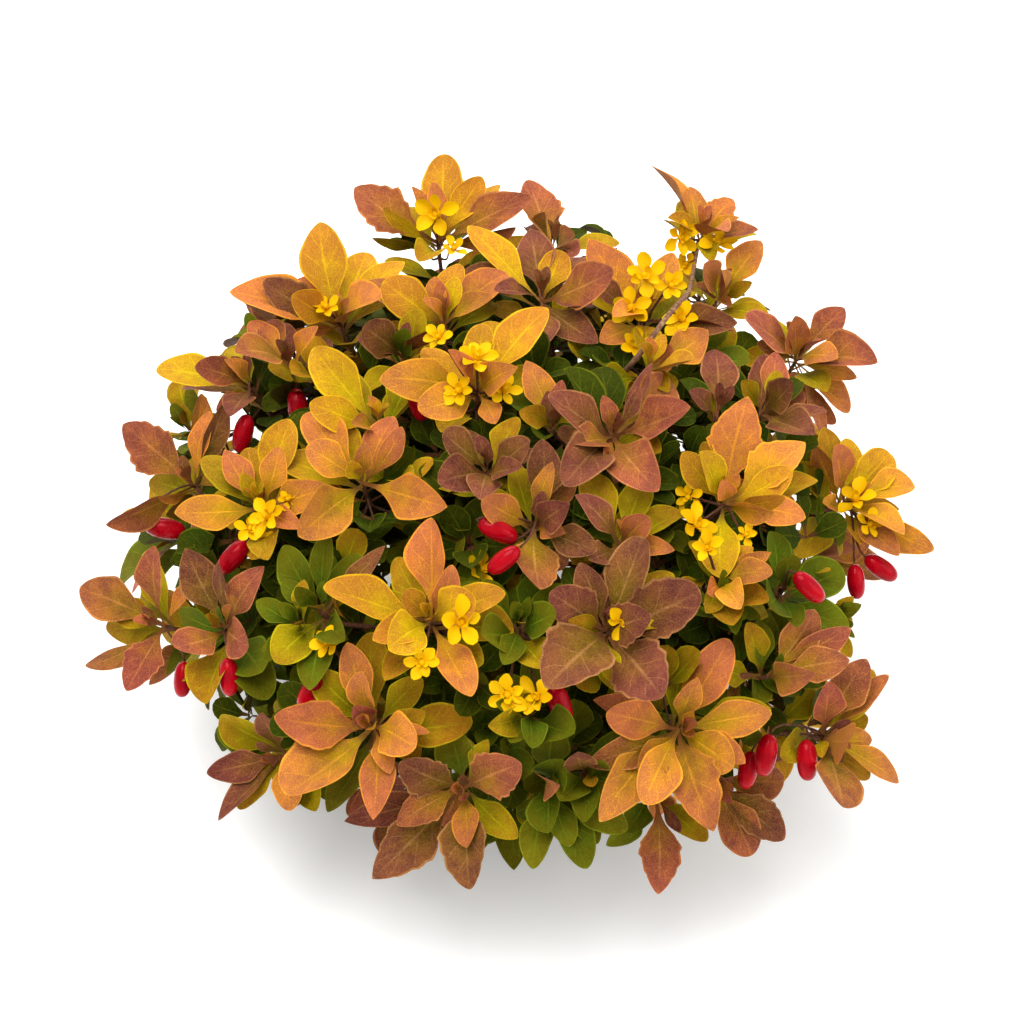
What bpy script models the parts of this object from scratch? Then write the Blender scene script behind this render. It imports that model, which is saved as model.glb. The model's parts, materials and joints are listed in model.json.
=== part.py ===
"""Japanese barberry in autumn colour: a low, rounded shrub on one short stem.

The short main stem swells into a burl from which the boughs fan out. Each bough ends in a small
knob, and the sprays of foliage start just clear of that knob. A spray is a curved twig, sometimes
forked, that ends in rosettes of leaves with berries and flowers. Metres, +Z up, ground at z = 0.
"""

import math
import random

import bmesh
import bpy
from mathutils import Matrix, Vector
from mathutils.bvhtree import BVHTree

MM = 0.001
GAP = 0.3 * MM
UP = Vector((0, 0, 1))
GOLDEN_ANGLE = math.radians(137.508)

# The crown is a low dome: the rosettes' hubs lie on this ellipsoid.
CROWN_CENTRE = Vector((0, 0, 70 * MM))
CROWN_AXES = Vector((94 * MM, 94 * MM, 51 * MM))
LOWEST_LEAF = 3 * MM

# The shrub is described as it is seen from the front and above.
VIEW_ELEVATION = math.radians(45)
VIEW_DISTANCE = 0.9
TO_EYE = Vector((0, -math.cos(VIEW_ELEVATION), math.sin(VIEW_ELEVATION)))
VIEW_RIGHT = Vector((1, 0, 0))
VIEW_UP = Vector((0, math.sin(VIEW_ELEVATION), math.cos(VIEW_ELEVATION)))

# Main stem and boughs.
FOOT_RADIUS = 9 * MM
WAIST_RADIUS = 5.5 * MM
WAIST_HEIGHT = 11 * MM
BURL_CENTRE = Vector((1 * MM, 0, 22 * MM))
BURL_RADIUS = 7 * MM
BOUGHS = 13
HIGHEST_BOUGH = 0.95
LOWEST_BOUGH = -0.20
BOUGH_TIP_AXES = Vector((44 * MM, 44 * MM, 24 * MM))
BOUGH_TIP_CENTRE = Vector((0, 0, 66 * MM))
BOUGH_BASE_RADIUS = 1.45 * MM
BOUGH_TIP_RADIUS = 1.1 * MM
BOUGH_SPREAD = math.radians(29)
KNOB_RADIUS = 2.6 * MM
STEMS_PER_BOUGH = 4

# Twigs.
STEM_RADIUS = 0.8 * MM
STEM_SPREAD = math.radians(44)
STEM_STEPS = 4
SIDE_TWIG_STEPS = 3
SIDE_TWIG_STEP = 2
HUB_RADIUS = 2.9 * MM
STALK_RADIUS = 0.35 * MM

# Leaves, berries and flowers.
LEAF_LENGTH = 29 * MM
LEAF_SLENDERNESS = 2.15
LEAF_THICKNESS = 0.8 * MM
LEAF_ROOT = 1.2 * MM
LEAF_BASE = 0.05
LEAF_WIDEST = 0.63
LEAF_CUP = 0.09
LEAF_DROOP = 0.10
BLADE_FROM = 0.3
OUTER_TILT = 66
INNER_TILT = 36
INNER_TURN = 30
INNER_SIZE = 0.72
TWIG_LEAF_TILT = 62
TWIG_LEAF_TURN = 2.6
TWIG_LEAF_SIZES = (0.52, 0.66)
TURN_VARIES = 0.14
TILT_VARIES = 8
SIZE_VARIES = (0.9, 1.06)
# What a leaf tries in turn where its place is taken: tilt change (degrees) and length.
LEAF_TRIES = ((0, 1), (-14, 1), (12, 1), (-26, 0.9), (0, 0.75), (-14, 0.7), (-30, 0.6))
LEAF_CLEARANCE = 0.35 * MM
BERRY_LENGTH = 11.5 * MM
BERRY_WIDTH = 5.8 * MM
BERRY_STANDS_OUT = 3 * MM
FLOWER_RADIUS = 5.2 * MM
FLOWER_THICKNESS = 2.2 * MM
FLOWER_STANDS_OUT = 5 * MM

# The crown's uprightness: how far a rosette's axis turns from the dome's normal to the sky.
UPTURN = 1.1

# Rosettes that show from the front. Those with one name share a spray, and the first one leads.
# Columns: spray, across and up in the view (mm), outer leaves, size, spin (degrees), tint.
ROSETTES = (
    ("gold_star", -21, -27, 6, 1.08, 28, "gold"),
    ("orange_star", 48, -59, 7, 1.10, 18, "apricot"),
    ("low_pink", -39, -56, 6, 1.06, 39, "apricot"),
    ("right_gold", 59, 5, 7, 1.05, 14, "gold"),
    ("mauve_star", 30, 24, 6, 0.95, 8, "mauve"),
    ("low_mauve", 28, -31, 5, 1.00, 36, "mauve"),
    ("left_apricot", -40, 11, 6, 1.00, 20, "apricot"),
    ("front_rose", -11, -74, 6, 0.98, 23, "rose"),
    ("centre_rose", 9, -2, 5, 0.80, 10, "rose"),
    ("centre_rose", -5, 14, 4, 0.70, 70, "mauve"),
    ("middle_flowers", -8, 36, 5, 0.95, 40, "gold"),
    ("gold_shoulder", -34, 27, 5, 1.05, 65, "gold"),
    ("left_flowers", -68, 4, 6, 1.00, 50, "gold"),
    ("left_rose", -88, 10, 6, 0.95, 35, "rose"),
    ("far_left", -95, -29, 6, 1.00, 55, "rose"),
    ("far_left", -78, -30, 5, 0.80, 10, "olive"),
    ("left_shoulder", -70, 37, 5, 0.95, 25, "mauve"),
    ("upper_gold", -46, 55, 6, 1.05, 30, "gold"),
    ("upper_mixed", -17, 55, 6, 0.95, 5, "rose"),
    ("crest_gold", -19, 78, 6, 1.00, 30, "gold"),
    ("crest_dark", 10, 62, 6, 1.00, 20, "mauve"),
    ("flower_shoot", 38, 56, 5, 0.95, 50, "apricot"),
    ("tall_shoot", 54, 79, 6, 0.80, 15, "rose"),
    ("right_shoulder", 80, 46, 6, 0.90, 40, "rose"),
    ("right_shoulder", 72, 31, 5, 0.85, 0, "mauve"),
    ("far_right", 94, 5, 6, 0.95, 25, "gold"),
    ("right_rose", 32, -6, 5, 0.92, 30, "rose"),
    ("right_green", 73, -42, 5, 0.85, 45, "olive"),
    ("low_right", 91, -61, 6, 0.98, 15, "rose"),
    ("low_left", -62, -66, 6, 0.95, 60, "rose"),
    ("front_green", 12, -72, 6, 0.85, 0, "green"),
)

# Berries and flowers that show: spray, then their offset across and up in the view from its hub
# (mm), and for the flowers how many stand together.
BERRIES = (
    ("left_rose", 14, 16), ("left_rose", -8, -10), ("left_shoulder", 12, -5),
    ("far_left", 40, 18), ("far_left", 17, -15), ("far_left", 4, -15),
    ("middle_flowers", -16, -3), ("centre_rose", -12, 1), ("centre_rose", -9, -9),
    ("low_mauve", -13, -19), ("low_pink", -16, 9), ("far_right", -9, -21),
    ("far_right", 4, -20), ("far_right", 12, -17), ("low_right", -22, -8),
    ("low_right", -18, -4), ("low_right", -6, -6),
)
FLOWERS = (
    ("crest_gold", 0, 7, 2), ("upper_gold", -5, 4, 1), ("flower_shoot", -4, 10, 3),
    ("flower_shoot", -2, -4, 2), ("tall_shoot", -6, 1, 1), ("tall_shoot", 5, 1, 1),
    ("middle_flowers", 0, 8, 2), ("middle_flowers", -4, 1, 2), ("left_flowers", 2, -3, 2),
    ("right_gold", -7, -4, 2), ("far_right", 4, 3, 1), ("gold_star", 8, -1, 1),
    ("gold_star", -3, -11, 1), ("low_mauve", 4, 4, 1),
)

# Hidden sides: more rosettes by the golden angle, where the front leaves room.
DOME_POINTS = 64
DOME_LOWEST = -0.62
ROSETTE_SPACING = 25 * MM
SPRAY_SPACING = 43 * MM
SPRAY_LIMIT = 16
LOW_SPRAYS = 7
LOW_REACH = 64 * MM
LOW_HEIGHT = 30 * MM
FILL_TINTS = ("gold", "rose", "apricot", "mauve", "rose", "gold", "olive", "mauve")

TINTS = {
    "gold": (0.60, 0.33, 0.03),
    "apricot": (0.62, 0.24, 0.06),
    "rose": (0.40, 0.14, 0.08),
    "mauve": (0.24, 0.10, 0.08),
    "olive": (0.20, 0.16, 0.02),
    "green": (0.05, 0.11, 0.01),
}
BARK = (0.10, 0.045, 0.025)


def clear_scene():
    for ob in list(bpy.data.objects):
        bpy.data.objects.remove(ob, do_unlink=True)


def material(name, colour, roughness):
    found = bpy.data.materials.get(name)
    if found:
        return found
    made = bpy.data.materials.new(name)
    made.use_nodes = True
    shader = made.node_tree.nodes["Principled BSDF"]
    shader.inputs["Base Color"].default_value = (*colour, 1)
    shader.inputs["Roughness"].default_value = roughness
    shader.inputs["Metallic"].default_value = 0
    made.diffuse_color = (*colour, 1)
    return made


def frame_on(place, along, face):
    """A frame at place whose X runs along, and whose Z is as near as it can be to face."""
    x_axis = along.normalized()
    y_axis = face.cross(x_axis).normalized()
    z_axis = x_axis.cross(y_axis)
    turn = Matrix((x_axis, y_axis, z_axis)).transposed()
    return Matrix.Translation(place) @ turn.to_4x4()


# A loose solid is a pair: its points, and its faces by point number.


def ball_shape(segments, rings):
    """A unit ball from Blender's own sphere, as a loose solid."""
    bm = bmesh.new()
    bmesh.ops.create_uvsphere(bm, u_segments=segments, v_segments=rings, radius=1)
    bm.verts.index_update()
    points = [v.co.copy() for v in bm.verts]
    faces = [tuple(v.index for v in f.verts) for f in bm.faces]
    bm.free()
    return points, faces


def placed(solid, matrix):
    points, faces = solid
    return [matrix @ point for point in points], faces


def spoon(station):
    """The leaf's half width along its length, as a share of the widest."""
    power = math.log(0.5) / math.log(LEAF_WIDEST)
    return math.sin(math.pi * station**power) ** 0.8


def leaf_solid(lens, length, margin=0.0, blade_from=0.0):
    """A spoon-shaped leaf along X, face up, pressed from a flat lens with its tip at angle 0."""
    half_width = length / LEAF_SLENDERNESS / 2
    half_thickness = LEAF_THICKNESS / 2 + margin
    root = LEAF_ROOT - LEAF_BASE * length
    points = []
    for point in lens[0]:
        station = max((1 + point.x) / 2, blade_from)
        if abs(point.z) > 0.5:
            side = 0.0
            height = math.copysign(half_thickness, point.z)
        elif station > 0.99:
            side = 0.0
            height = 0.0
        else:
            side = math.copysign(half_width * spoon(station) + margin, point.y)
            height = LEAF_CUP * abs(side)
        droop = LEAF_DROOP * length * station**2
        points.append(Vector((root + length * station, side, height - droop)))
    return points, lens[1]


def flower_solid(disc):
    """A shallow six-sided cup, open to +Z, that stands for the six petals."""
    points = []
    for point in disc[0]:
        if abs(point.z) > 0.5:
            points.append(Vector((0, 0, point.z * FLOWER_THICKNESS / 2)))
        else:
            points.append(point * FLOWER_RADIUS + UP * 0.35 * FLOWER_THICKNESS)
    return points, disc[1]


def section_curve(sides):
    """The closed outline that a three-sided tube is swept with."""
    data = bpy.data.curves.new("section", "CURVE")
    data.dimensions = "2D"
    spline = data.splines.new("POLY")
    spline.points.add(sides - 1)
    for number, point in enumerate(spline.points):
        angle = 2 * math.pi * number / sides
        point.co = (math.cos(angle), math.sin(angle), 0, 1)
    spline.use_cyclic_u = True
    return bpy.data.objects.new("section", data)


def tube(path, radii, section=None):
    """A tube with a taper and closed ends along a path, as a loose solid."""
    data = bpy.data.curves.new("tube", "CURVE")
    data.dimensions = "3D"
    data.fill_mode = "FULL"
    data.use_fill_caps = True
    if section:
        data.bevel_mode = "OBJECT"
        data.bevel_object = section
    else:
        data.bevel_depth = 1
        data.bevel_resolution = 1
    spline = data.splines.new("POLY")
    spline.points.add(len(path) - 1)
    for point, place, radius in zip(spline.points, path, radii):
        point.co = (*place, 1)
        point.radius = radius
    carrier = bpy.data.objects.new("tube", data)
    bpy.context.scene.collection.objects.link(carrier)
    seen = carrier.evaluated_get(bpy.context.evaluated_depsgraph_get())
    mesh = bpy.data.meshes.new_from_object(seen)
    bm = bmesh.new()
    bm.from_mesh(mesh)
    bmesh.ops.remove_doubles(bm, verts=bm.verts, dist=0.00001)
    bmesh.ops.recalc_face_normals(bm, faces=bm.faces)
    bm.verts.index_update()
    solid = [v.co.copy() for v in bm.verts], [tuple(v.index for v in f.verts) for f in bm.faces]
    bm.free()
    bpy.data.objects.remove(carrier, do_unlink=True)
    bpy.data.curves.remove(data)
    bpy.data.meshes.remove(mesh)
    return solid


def bend(start, start_way, end, end_way, steps):
    """Points on a curve that leaves start along one way and reaches end along another."""
    reach = (end - start).length / 3
    first = start + start_way * reach
    second = end - end_way * reach
    path = []
    for step in range(steps + 1):
        t = step / steps
        s = 1 - t
        path.append(s**3 * start + 3 * s * s * t * first + 3 * s * t * t * second + t**3 * end)
    return path


def taper(first, last, steps):
    return [first + (last - first) * step / steps for step in range(steps + 1)]


class Room:
    """Every solid placed so far with its owner, so that each spray keeps to its own space."""

    def __init__(self):
        self.items = []

    def add(self, owner, solid, blade=None):
        centre, radius = self.bounds(solid)
        tree = BVHTree.FromPolygons(*solid)
        blade_tree = BVHTree.FromPolygons(*blade) if blade else None
        self.items.append((owner, centre, radius, tree, blade_tree))

    def bounds(self, solid):
        centre = sum(solid[0], Vector()) / len(solid[0])
        return centre, max((point - centre).length for point in solid[0])

    def is_free(self, owner, solid, blade=None):
        """Whether a solid stays clear of the other sprays, and its blade of the blades of its own."""
        centre, radius = self.bounds(solid)
        tree = BVHTree.FromPolygons(*solid)
        blade_tree = BVHTree.FromPolygons(*blade) if blade else None
        for other, place, reach, other_tree, other_blade in self.items:
            if (place - centre).length > radius + reach:
                continue
            if other != owner and tree.overlap(other_tree):
                return False
            if other == owner and blade_tree and other_blade and blade_tree.overlap(other_blade):
                return False
        return True


def on_dome(across, up):
    """The dome's point seen at this place in the view, or beside the dome where it is missed."""
    eye = CROWN_CENTRE + TO_EYE * VIEW_DISTANCE
    ray = (CROWN_CENTRE + VIEW_RIGHT * across + VIEW_UP * up - eye).normalized()
    squeeze = Vector(1 / axis for axis in CROWN_AXES)
    start = (eye - CROWN_CENTRE) * squeeze
    way = ray * squeeze
    half = start.dot(way) / way.dot(way)
    miss = half * half - (start.dot(start) - 1) / way.dot(way)
    return eye + ray * (-half - math.sqrt(max(miss, 0)))


def rosette_axis(hub):
    """A rosette faces out of the dome and turns up to the light."""
    offset = hub - CROWN_CENTRE
    normal = Vector(offset[i] / CROWN_AXES[i] ** 2 for i in range(3)).normalized()
    return (normal + UPTURN * UP).normalized()


class Rosette:
    def __init__(self, hub, leaves, size, spin, tint, lens, inner):
        self.hub = hub
        self.lens = lens
        self.inner = inner
        self.axis = rosette_axis(hub)
        self.leaves = leaves
        self.size = size
        self.spin = math.radians(spin)
        self.tint = tint


def front_sprays():
    """The rosettes that show from the front, gathered by spray."""
    sprays = {}
    for name, across, up, leaves, size, spin, tint in ROSETTES:
        hub = on_dome(across * MM, up * MM)
        sprays.setdefault(name, []).append(Rosette(hub, leaves, size, spin, tint, "leaf", 2))
    return sprays


def dome_points():
    """Even points over the dome, from its top down to its lower rim, by the golden angle."""
    for number in range(DOME_POINTS):
        height = 1 - (1 - DOME_LOWEST) * (number + 0.5) / DOME_POINTS
        ring = math.sqrt(1 - height * height)
        turn = number * GOLDEN_ANGLE
        way = Vector((ring * math.cos(turn), ring * math.sin(turn), height))
        yield CROWN_CENTRE + way * CROWN_AXES


def fill_sprays(taken):
    """Sprays for the hidden sides: a free point leads, and free points near it are its side twigs."""
    free = [p for p in dome_points() if min((p - hub).length for hub in taken) > ROSETTE_SPACING]
    sprays = {}
    for point in free:
        number = len(sprays)
        near = [n for n, group in sprays.items() if (group[0].hub - point).length < SPRAY_SPACING]
        rng = random.Random(900 + round(point.x * 1e5) + round(point.y * 1e4))
        tint = FILL_TINTS[rng.randrange(len(FILL_TINTS))]
        size = rng.uniform(0.92, 1.08)
        made = Rosette(point, 5, size, rng.uniform(0, 72), tint, "small_leaf", 1)
        if near:
            leader = min(near, key=lambda n: (sprays[n][0].hub - point).length)
            if len(sprays[leader]) < 3:
                sprays[leader].append(made)
        elif number < SPRAY_LIMIT:
            sprays[f"side_{number + 1:02d}"] = [made]
    return sprays


def low_sprays():
    """Green sprays in the shade round the foot, all the way round."""
    sprays = {}
    for number in range(LOW_SPRAYS):
        turn = 2 * math.pi * (number + 0.25) / LOW_SPRAYS
        hub = Vector((LOW_REACH * math.cos(turn), LOW_REACH * math.sin(turn), LOW_HEIGHT))
        sprays[f"low_{number + 1:02d}"] = [Rosette(hub, 5, 0.85, 40 * number, "green", "small_leaf", 1)]
    return sprays


def bough_tips():
    for number in range(BOUGHS):
        height = HIGHEST_BOUGH + (LOWEST_BOUGH - HIGHEST_BOUGH) * (number + 0.5) / BOUGHS
        ring = math.sqrt(1 - height * height)
        turn = number * GOLDEN_ANGLE
        way = Vector((ring * math.cos(turn), ring * math.sin(turn), height))
        yield BOUGH_TIP_CENTRE + way * BOUGH_TIP_AXES


def share_out(sprays, tips):
    """Each spray grows from the bough whose tip is best placed and not yet full."""
    carried = {number: [] for number in range(len(tips))}
    for name, group in sprays.items():
        hub = group[0].hub
        room = [n for n in carried if len(carried[n]) < STEMS_PER_BOUGH]
        carried[min(room, key=lambda n: (tips[n] - hub).length)].append(name)
    return carried


def spread_ways(ways, back, spread):
    """Turns the limbs that leave one place away from each other and from the limb behind them."""
    ways = [way.normalized() for way in ways]
    for _ in range(60):
        for number, way in enumerate(ways):
            others = [w for i, w in enumerate(ways) if i != number] + [back]
            for other in others:
                if way.angle(other) < spread:
                    way = (way + 0.12 * (way - other)).normalized()
            ways[number] = way
    return ways


def make_object(name, solid, look, collection):
    mesh = bpy.data.meshes.new(name)
    mesh.from_pydata(solid[0], [], solid[1])
    mesh.materials.append(look)
    mesh.validate()
    ob = bpy.data.objects.new(name, mesh)
    collection.objects.link(ob)
    return ob


def shells(bm):
    """The separate closed surfaces of a mesh, each as a set of faces."""
    left = set(bm.faces)
    while left:
        found = set()
        edge_of_search = [left.pop()]
        while edge_of_search:
            face = edge_of_search.pop()
            found.add(face)
            for edge in face.edges:
                for other in edge.link_faces:
                    if other in left:
                        left.remove(other)
                        edge_of_search.append(other)
        yield found


def keep_outer_shell(mesh):
    """Fills the hollows that a union sealed, and drops any loose scrap: the largest surface stays.

    Says whether that surface is closed.
    """
    bm = bmesh.new()
    bm.from_mesh(mesh)
    bmesh.ops.triangulate(bm, faces=bm.faces)
    found = sorted(shells(bm), key=lambda faces: sum(face.calc_area() for face in faces))
    for faces in found[:-1]:
        bmesh.ops.delete(bm, geom=list(faces), context="FACES")
    closed = all(edge.is_manifold for edge in bm.edges)
    bm.to_mesh(mesh)
    bm.free()
    return closed


def united(name, solids, look, collection):
    """Joins loose solids by one Boolean union on a collection, and applies it."""
    base = make_object(name, solids[0], look, collection)
    extras = bpy.data.collections.new("union_" + name)
    bpy.context.scene.collection.children.link(extras)
    loose = [make_object("loose", solid, look, extras) for solid in solids[1:]]
    union = base.modifiers.new("union", "BOOLEAN")
    union.operation = "UNION"
    union.operand_type = "COLLECTION"
    union.collection = extras
    for solver in ("EXACT", "MANIFOLD"):
        union.solver = solver
        seen = base.evaluated_get(bpy.context.evaluated_depsgraph_get())
        mesh = bpy.data.meshes.new_from_object(seen)
        if keep_outer_shell(mesh):
            break
    base.modifiers.clear()
    base.data = mesh
    mesh.name = name
    for ob in loose:
        bpy.data.meshes.remove(ob.data)
    bpy.data.collections.remove(extras)
    return base


def main_stem_solids(ball):
    path = [Vector((0, 0, 0)), Vector((0, 0, 3 * MM)), Vector((0.3 * MM, 0, WAIST_HEIGHT)), BURL_CENTRE]
    stem = tube(path, [FOOT_RADIUS, 0.82 * FOOT_RADIUS, WAIST_RADIUS, WAIST_RADIUS])
    burl = placed(ball, Matrix.Translation(BURL_CENTRE) @ Matrix.Scale(BURL_RADIUS, 4))
    return [stem, burl]


def bough_paths(tips):
    """The boughs leave the burl well apart and arch out to their tips."""
    ways = spread_ways([tip - BURL_CENTRE for tip in tips], -UP, BOUGH_SPREAD)
    paths = []
    for tip, way in zip(tips, ways):
        start = BURL_CENTRE + way * (BURL_RADIUS + GAP)
        aim = (tip - BURL_CENTRE).normalized()
        paths.append(bend(start, way, tip, (1.3 * aim - 0.3 * UP).normalized(), 3))
    return paths


def bough_solids(path, ball):
    tip = path[-1]
    limb = tube(path, taper(BOUGH_BASE_RADIUS, BOUGH_TIP_RADIUS, 3))
    knob = placed(ball, Matrix.Translation(tip) @ Matrix.Scale(KNOB_RADIUS, 4))
    return [limb, knob]


class Spray:
    """One mass of foliage: its twigs, then the leaves, berries and flowers fused on to them."""

    def __init__(self, name, group, knob, way, shapes, room):
        self.name = name
        self.group = group
        self.shapes = shapes
        self.room = room
        self.rng = random.Random(f"spray {name}")
        self.solids = []
        self.paths = []
        self.grow_twigs(knob, way)

    def keep(self, solid, blade=None):
        self.solids.append(solid)
        self.room.add(self.name, solid, blade)

    def grow_twigs(self, knob, way):
        leader = self.group[0]
        start = knob + way * (KNOB_RADIUS + GAP)
        path = bend(start, way, leader.hub, leader.axis, STEM_STEPS)
        self.paths.append(path)
        stem = tube(path, taper(STEM_RADIUS, 0.7 * STEM_RADIUS, STEM_STEPS), self.shapes["section"])
        self.keep(stem, stem)
        for rosette in self.group[1:]:
            root = path[SIDE_TWIG_STEP]
            along = (path[SIDE_TWIG_STEP + 1] - root).normalized()
            aim = (0.6 * along + 0.4 * (rosette.hub - root).normalized()).normalized()
            twig = bend(root, aim, rosette.hub, rosette.axis, SIDE_TWIG_STEPS)
            self.paths.append(twig)
            radii = taper(0.8 * STEM_RADIUS, 0.65 * STEM_RADIUS, SIDE_TWIG_STEPS)
            branch = tube(twig, radii, self.shapes["section"])
            self.keep(branch, branch)
        for rosette in self.group:
            facing = rosette.axis.to_track_quat("Z", "Y").to_matrix().to_4x4()
            hub = Matrix.Translation(rosette.hub) @ facing @ Matrix.Scale(HUB_RADIUS, 4)
            self.keep(placed(self.shapes["hub"], hub))

    def dress(self):
        """Adds the berries and flowers, then whorls of leaves from the outer ones inwards."""
        hub = self.group[0]
        for spray, across, up in BERRIES:
            if spray == self.name:
                self.hang_berry(hub, across * MM, up * MM)
        for spray, across, up, count in FLOWERS:
            if spray == self.name:
                self.set_flowers(hub, across * MM, up * MM, count)
        for rosette in self.group:
            self.whorl(rosette, rosette.leaves, 0, OUTER_TILT, 1.0, rosette.lens)
            self.whorl(rosette, rosette.inner, INNER_TURN, INNER_TILT, INNER_SIZE, "small_leaf")
        for path in self.paths:
            self.leaves_along(path)

    def whorl(self, rosette, count, shift, tilt, size, shape):
        for number in range(count):
            turn = rosette.spin + math.radians(shift) + 2 * math.pi * number / count
            turn += self.rng.uniform(-TURN_VARIES, TURN_VARIES)
            lean = math.radians(tilt + self.rng.uniform(-TILT_VARIES, TILT_VARIES))
            length = LEAF_LENGTH * rosette.size * size * self.rng.uniform(*SIZE_VARIES)
            step = self.rng.uniform(-0.5, 0.5) * HUB_RADIUS
            self.try_leaf(rosette.hub + rosette.axis * step, rosette.axis, turn, lean, length, shape)

    def leaves_along(self, path):
        """A pair of small leaves on a twig, below its rosette."""
        number = len(path) - 2
        along = (path[number + 1] - path[number]).normalized()
        first = self.rng.uniform(0, math.pi)
        for side in range(2):
            length = LEAF_LENGTH * self.rng.uniform(*TWIG_LEAF_SIZES)
            turn = first + side * TWIG_LEAF_TURN
            self.try_leaf(path[number], along, turn, math.radians(TWIG_LEAF_TILT), length, "small_leaf")

    def try_leaf(self, root, axis, turn, lean, length, shape):
        """Sets a leaf, turned or cut down where another spray or a limb is in its way."""
        right = (VIEW_RIGHT - axis * VIEW_RIGHT.dot(axis)).normalized()
        out = right * math.cos(turn) + axis.cross(right) * math.sin(turn)
        for extra, cut in LEAF_TRIES:
            angle = lean + math.radians(extra)
            along = axis * math.cos(angle) + out * math.sin(angle)
            face = axis * math.sin(angle) - out * math.cos(angle)
            frame = frame_on(root, along, face)
            lens = self.shapes[shape]
            leaf = placed(leaf_solid(lens, length * cut), frame)
            if min(point.z for point in leaf[0]) < LOWEST_LEAF:
                continue
            grown = placed(leaf_solid(lens, length * cut, LEAF_CLEARANCE), frame)
            blade = placed(leaf_solid(lens, length * cut, 0, BLADE_FROM), frame)
            if self.room.is_free(self.name, grown, blade):
                self.keep(leaf, blade)
                return

    def hang_berry(self, rosette, across, up):
        """A berry on its thin stalk, out in front of the leaves below the hub."""
        centre = rosette.hub + VIEW_RIGHT * across + VIEW_UP * up + TO_EYE * BERRY_STANDS_OUT
        drop = (0.55 * (centre - rosette.hub).normalized() - UP).normalized()
        top = centre - drop * 0.42 * BERRY_LENGTH
        path = bend(rosette.hub, rosette.axis, top, drop, 2)
        berry = placed(
            self.shapes["berry"],
            Matrix.Translation(centre)
            @ drop.to_track_quat("Z", "Y").to_matrix().to_4x4()
            @ Matrix.Diagonal((BERRY_WIDTH / 2, BERRY_WIDTH / 2, BERRY_LENGTH / 2, 1)),
        )
        stalk = tube(path, [STALK_RADIUS] * 3, self.shapes["section"])
        if self.room.is_free(self.name, berry) and self.room.is_free(self.name, stalk):
            self.keep(berry, berry)
            self.keep(stalk, stalk)

    def set_flowers(self, rosette, across, up, count):
        """A few flowers side by side on short stalks, open to the light."""
        middle = rosette.hub + VIEW_RIGHT * across + VIEW_UP * up + TO_EYE * FLOWER_STANDS_OUT
        for number in range(count):
            turn = number * GOLDEN_ANGLE + 0.6
            reach = 1.05 * FLOWER_RADIUS * math.sqrt(number / 1.6)
            side = VIEW_RIGHT * math.cos(turn) + VIEW_UP * math.sin(turn)
            centre = middle + side * reach
            facing = (rosette.axis + 0.5 * side + 0.4 * TO_EYE).normalized()
            turned = facing.to_track_quat("Z", "Y").to_matrix().to_4x4()
            bloom = placed(self.shapes["flower"], Matrix.Translation(centre) @ turned)
            stalk = tube([rosette.hub, centre], [STALK_RADIUS] * 2, self.shapes["section"])
            if self.room.is_free(self.name, bloom, bloom) and self.room.is_free(self.name, stalk):
                self.keep(bloom, bloom)
                self.keep(stalk, stalk)


def main():
    clear_scene()
    collection = bpy.data.collections.new("japanese_barberry")
    bpy.context.scene.collection.children.link(collection)
    section = section_curve(3)
    burl = ball_shape(10, 6)
    shapes = {
        "section": section,
        "leaf": ball_shape(7, 2),
        "small_leaf": ball_shape(5, 2),
        "hub": ball_shape(5, 2),
        "berry": ball_shape(6, 4),
        "flower": flower_solid(ball_shape(6, 2)),
    }
    bark = material("bark", BARK, 0.85)
    room = Room()

    united("main_stem", main_stem_solids(burl), bark, collection)
    tips = list(bough_tips())
    boughs = bough_paths(tips)
    for number, path in enumerate(boughs):
        solids = bough_solids(path, ball_shape(6, 4))
        for solid in solids:
            room.add("boughs", solid)
        united(f"bough_{number + 1:02d}", solids, bark, collection)

    groups = front_sprays()
    taken = [rosette.hub for group in groups.values() for rosette in group]
    groups.update(fill_sprays(taken))
    groups.update(low_sprays())
    sprays = {}
    for number, names in share_out(groups, tips).items():
        ways = [groups[name][0].hub - tips[number] for name in names]
        back = (boughs[number][-2] - tips[number]).normalized()
        ways = spread_ways(ways, back, STEM_SPREAD)
        for name, way in zip(names, ways):
            sprays[name] = Spray(name, groups[name], tips[number], way, shapes, room)
    for name in groups:
        spray = sprays[name]
        spray.dress()
    for name in groups:
        look = material("foliage_" + groups[name][0].tint, TINTS[groups[name][0].tint], 0.6)
        united("foliage_" + name, sprays[name].solids, look, collection)
    bpy.data.curves.remove(section.data)


main()
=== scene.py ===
"""Japanese barberry in autumn colour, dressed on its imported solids.

The growth rule is the part's own: boughs from a burl, a twig to each rosette of leaves, the
rosettes on a low dome. Here it is carried on to finer twigs, and every leaf has its own outline.
Metres, +Z up, ground at z = 0. The front of the shrub looks along -Y.
"""

import json
import math
import random
from functools import cache

import bmesh
import bpy
import numpy as np
from bpy.props import FloatProperty, FloatVectorProperty, IntProperty, PointerProperty
from bpy.types import Operator, Panel, PropertyGroup
from mathutils import Matrix, Vector, noise
from mathutils.bvhtree import BVHTree

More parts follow.
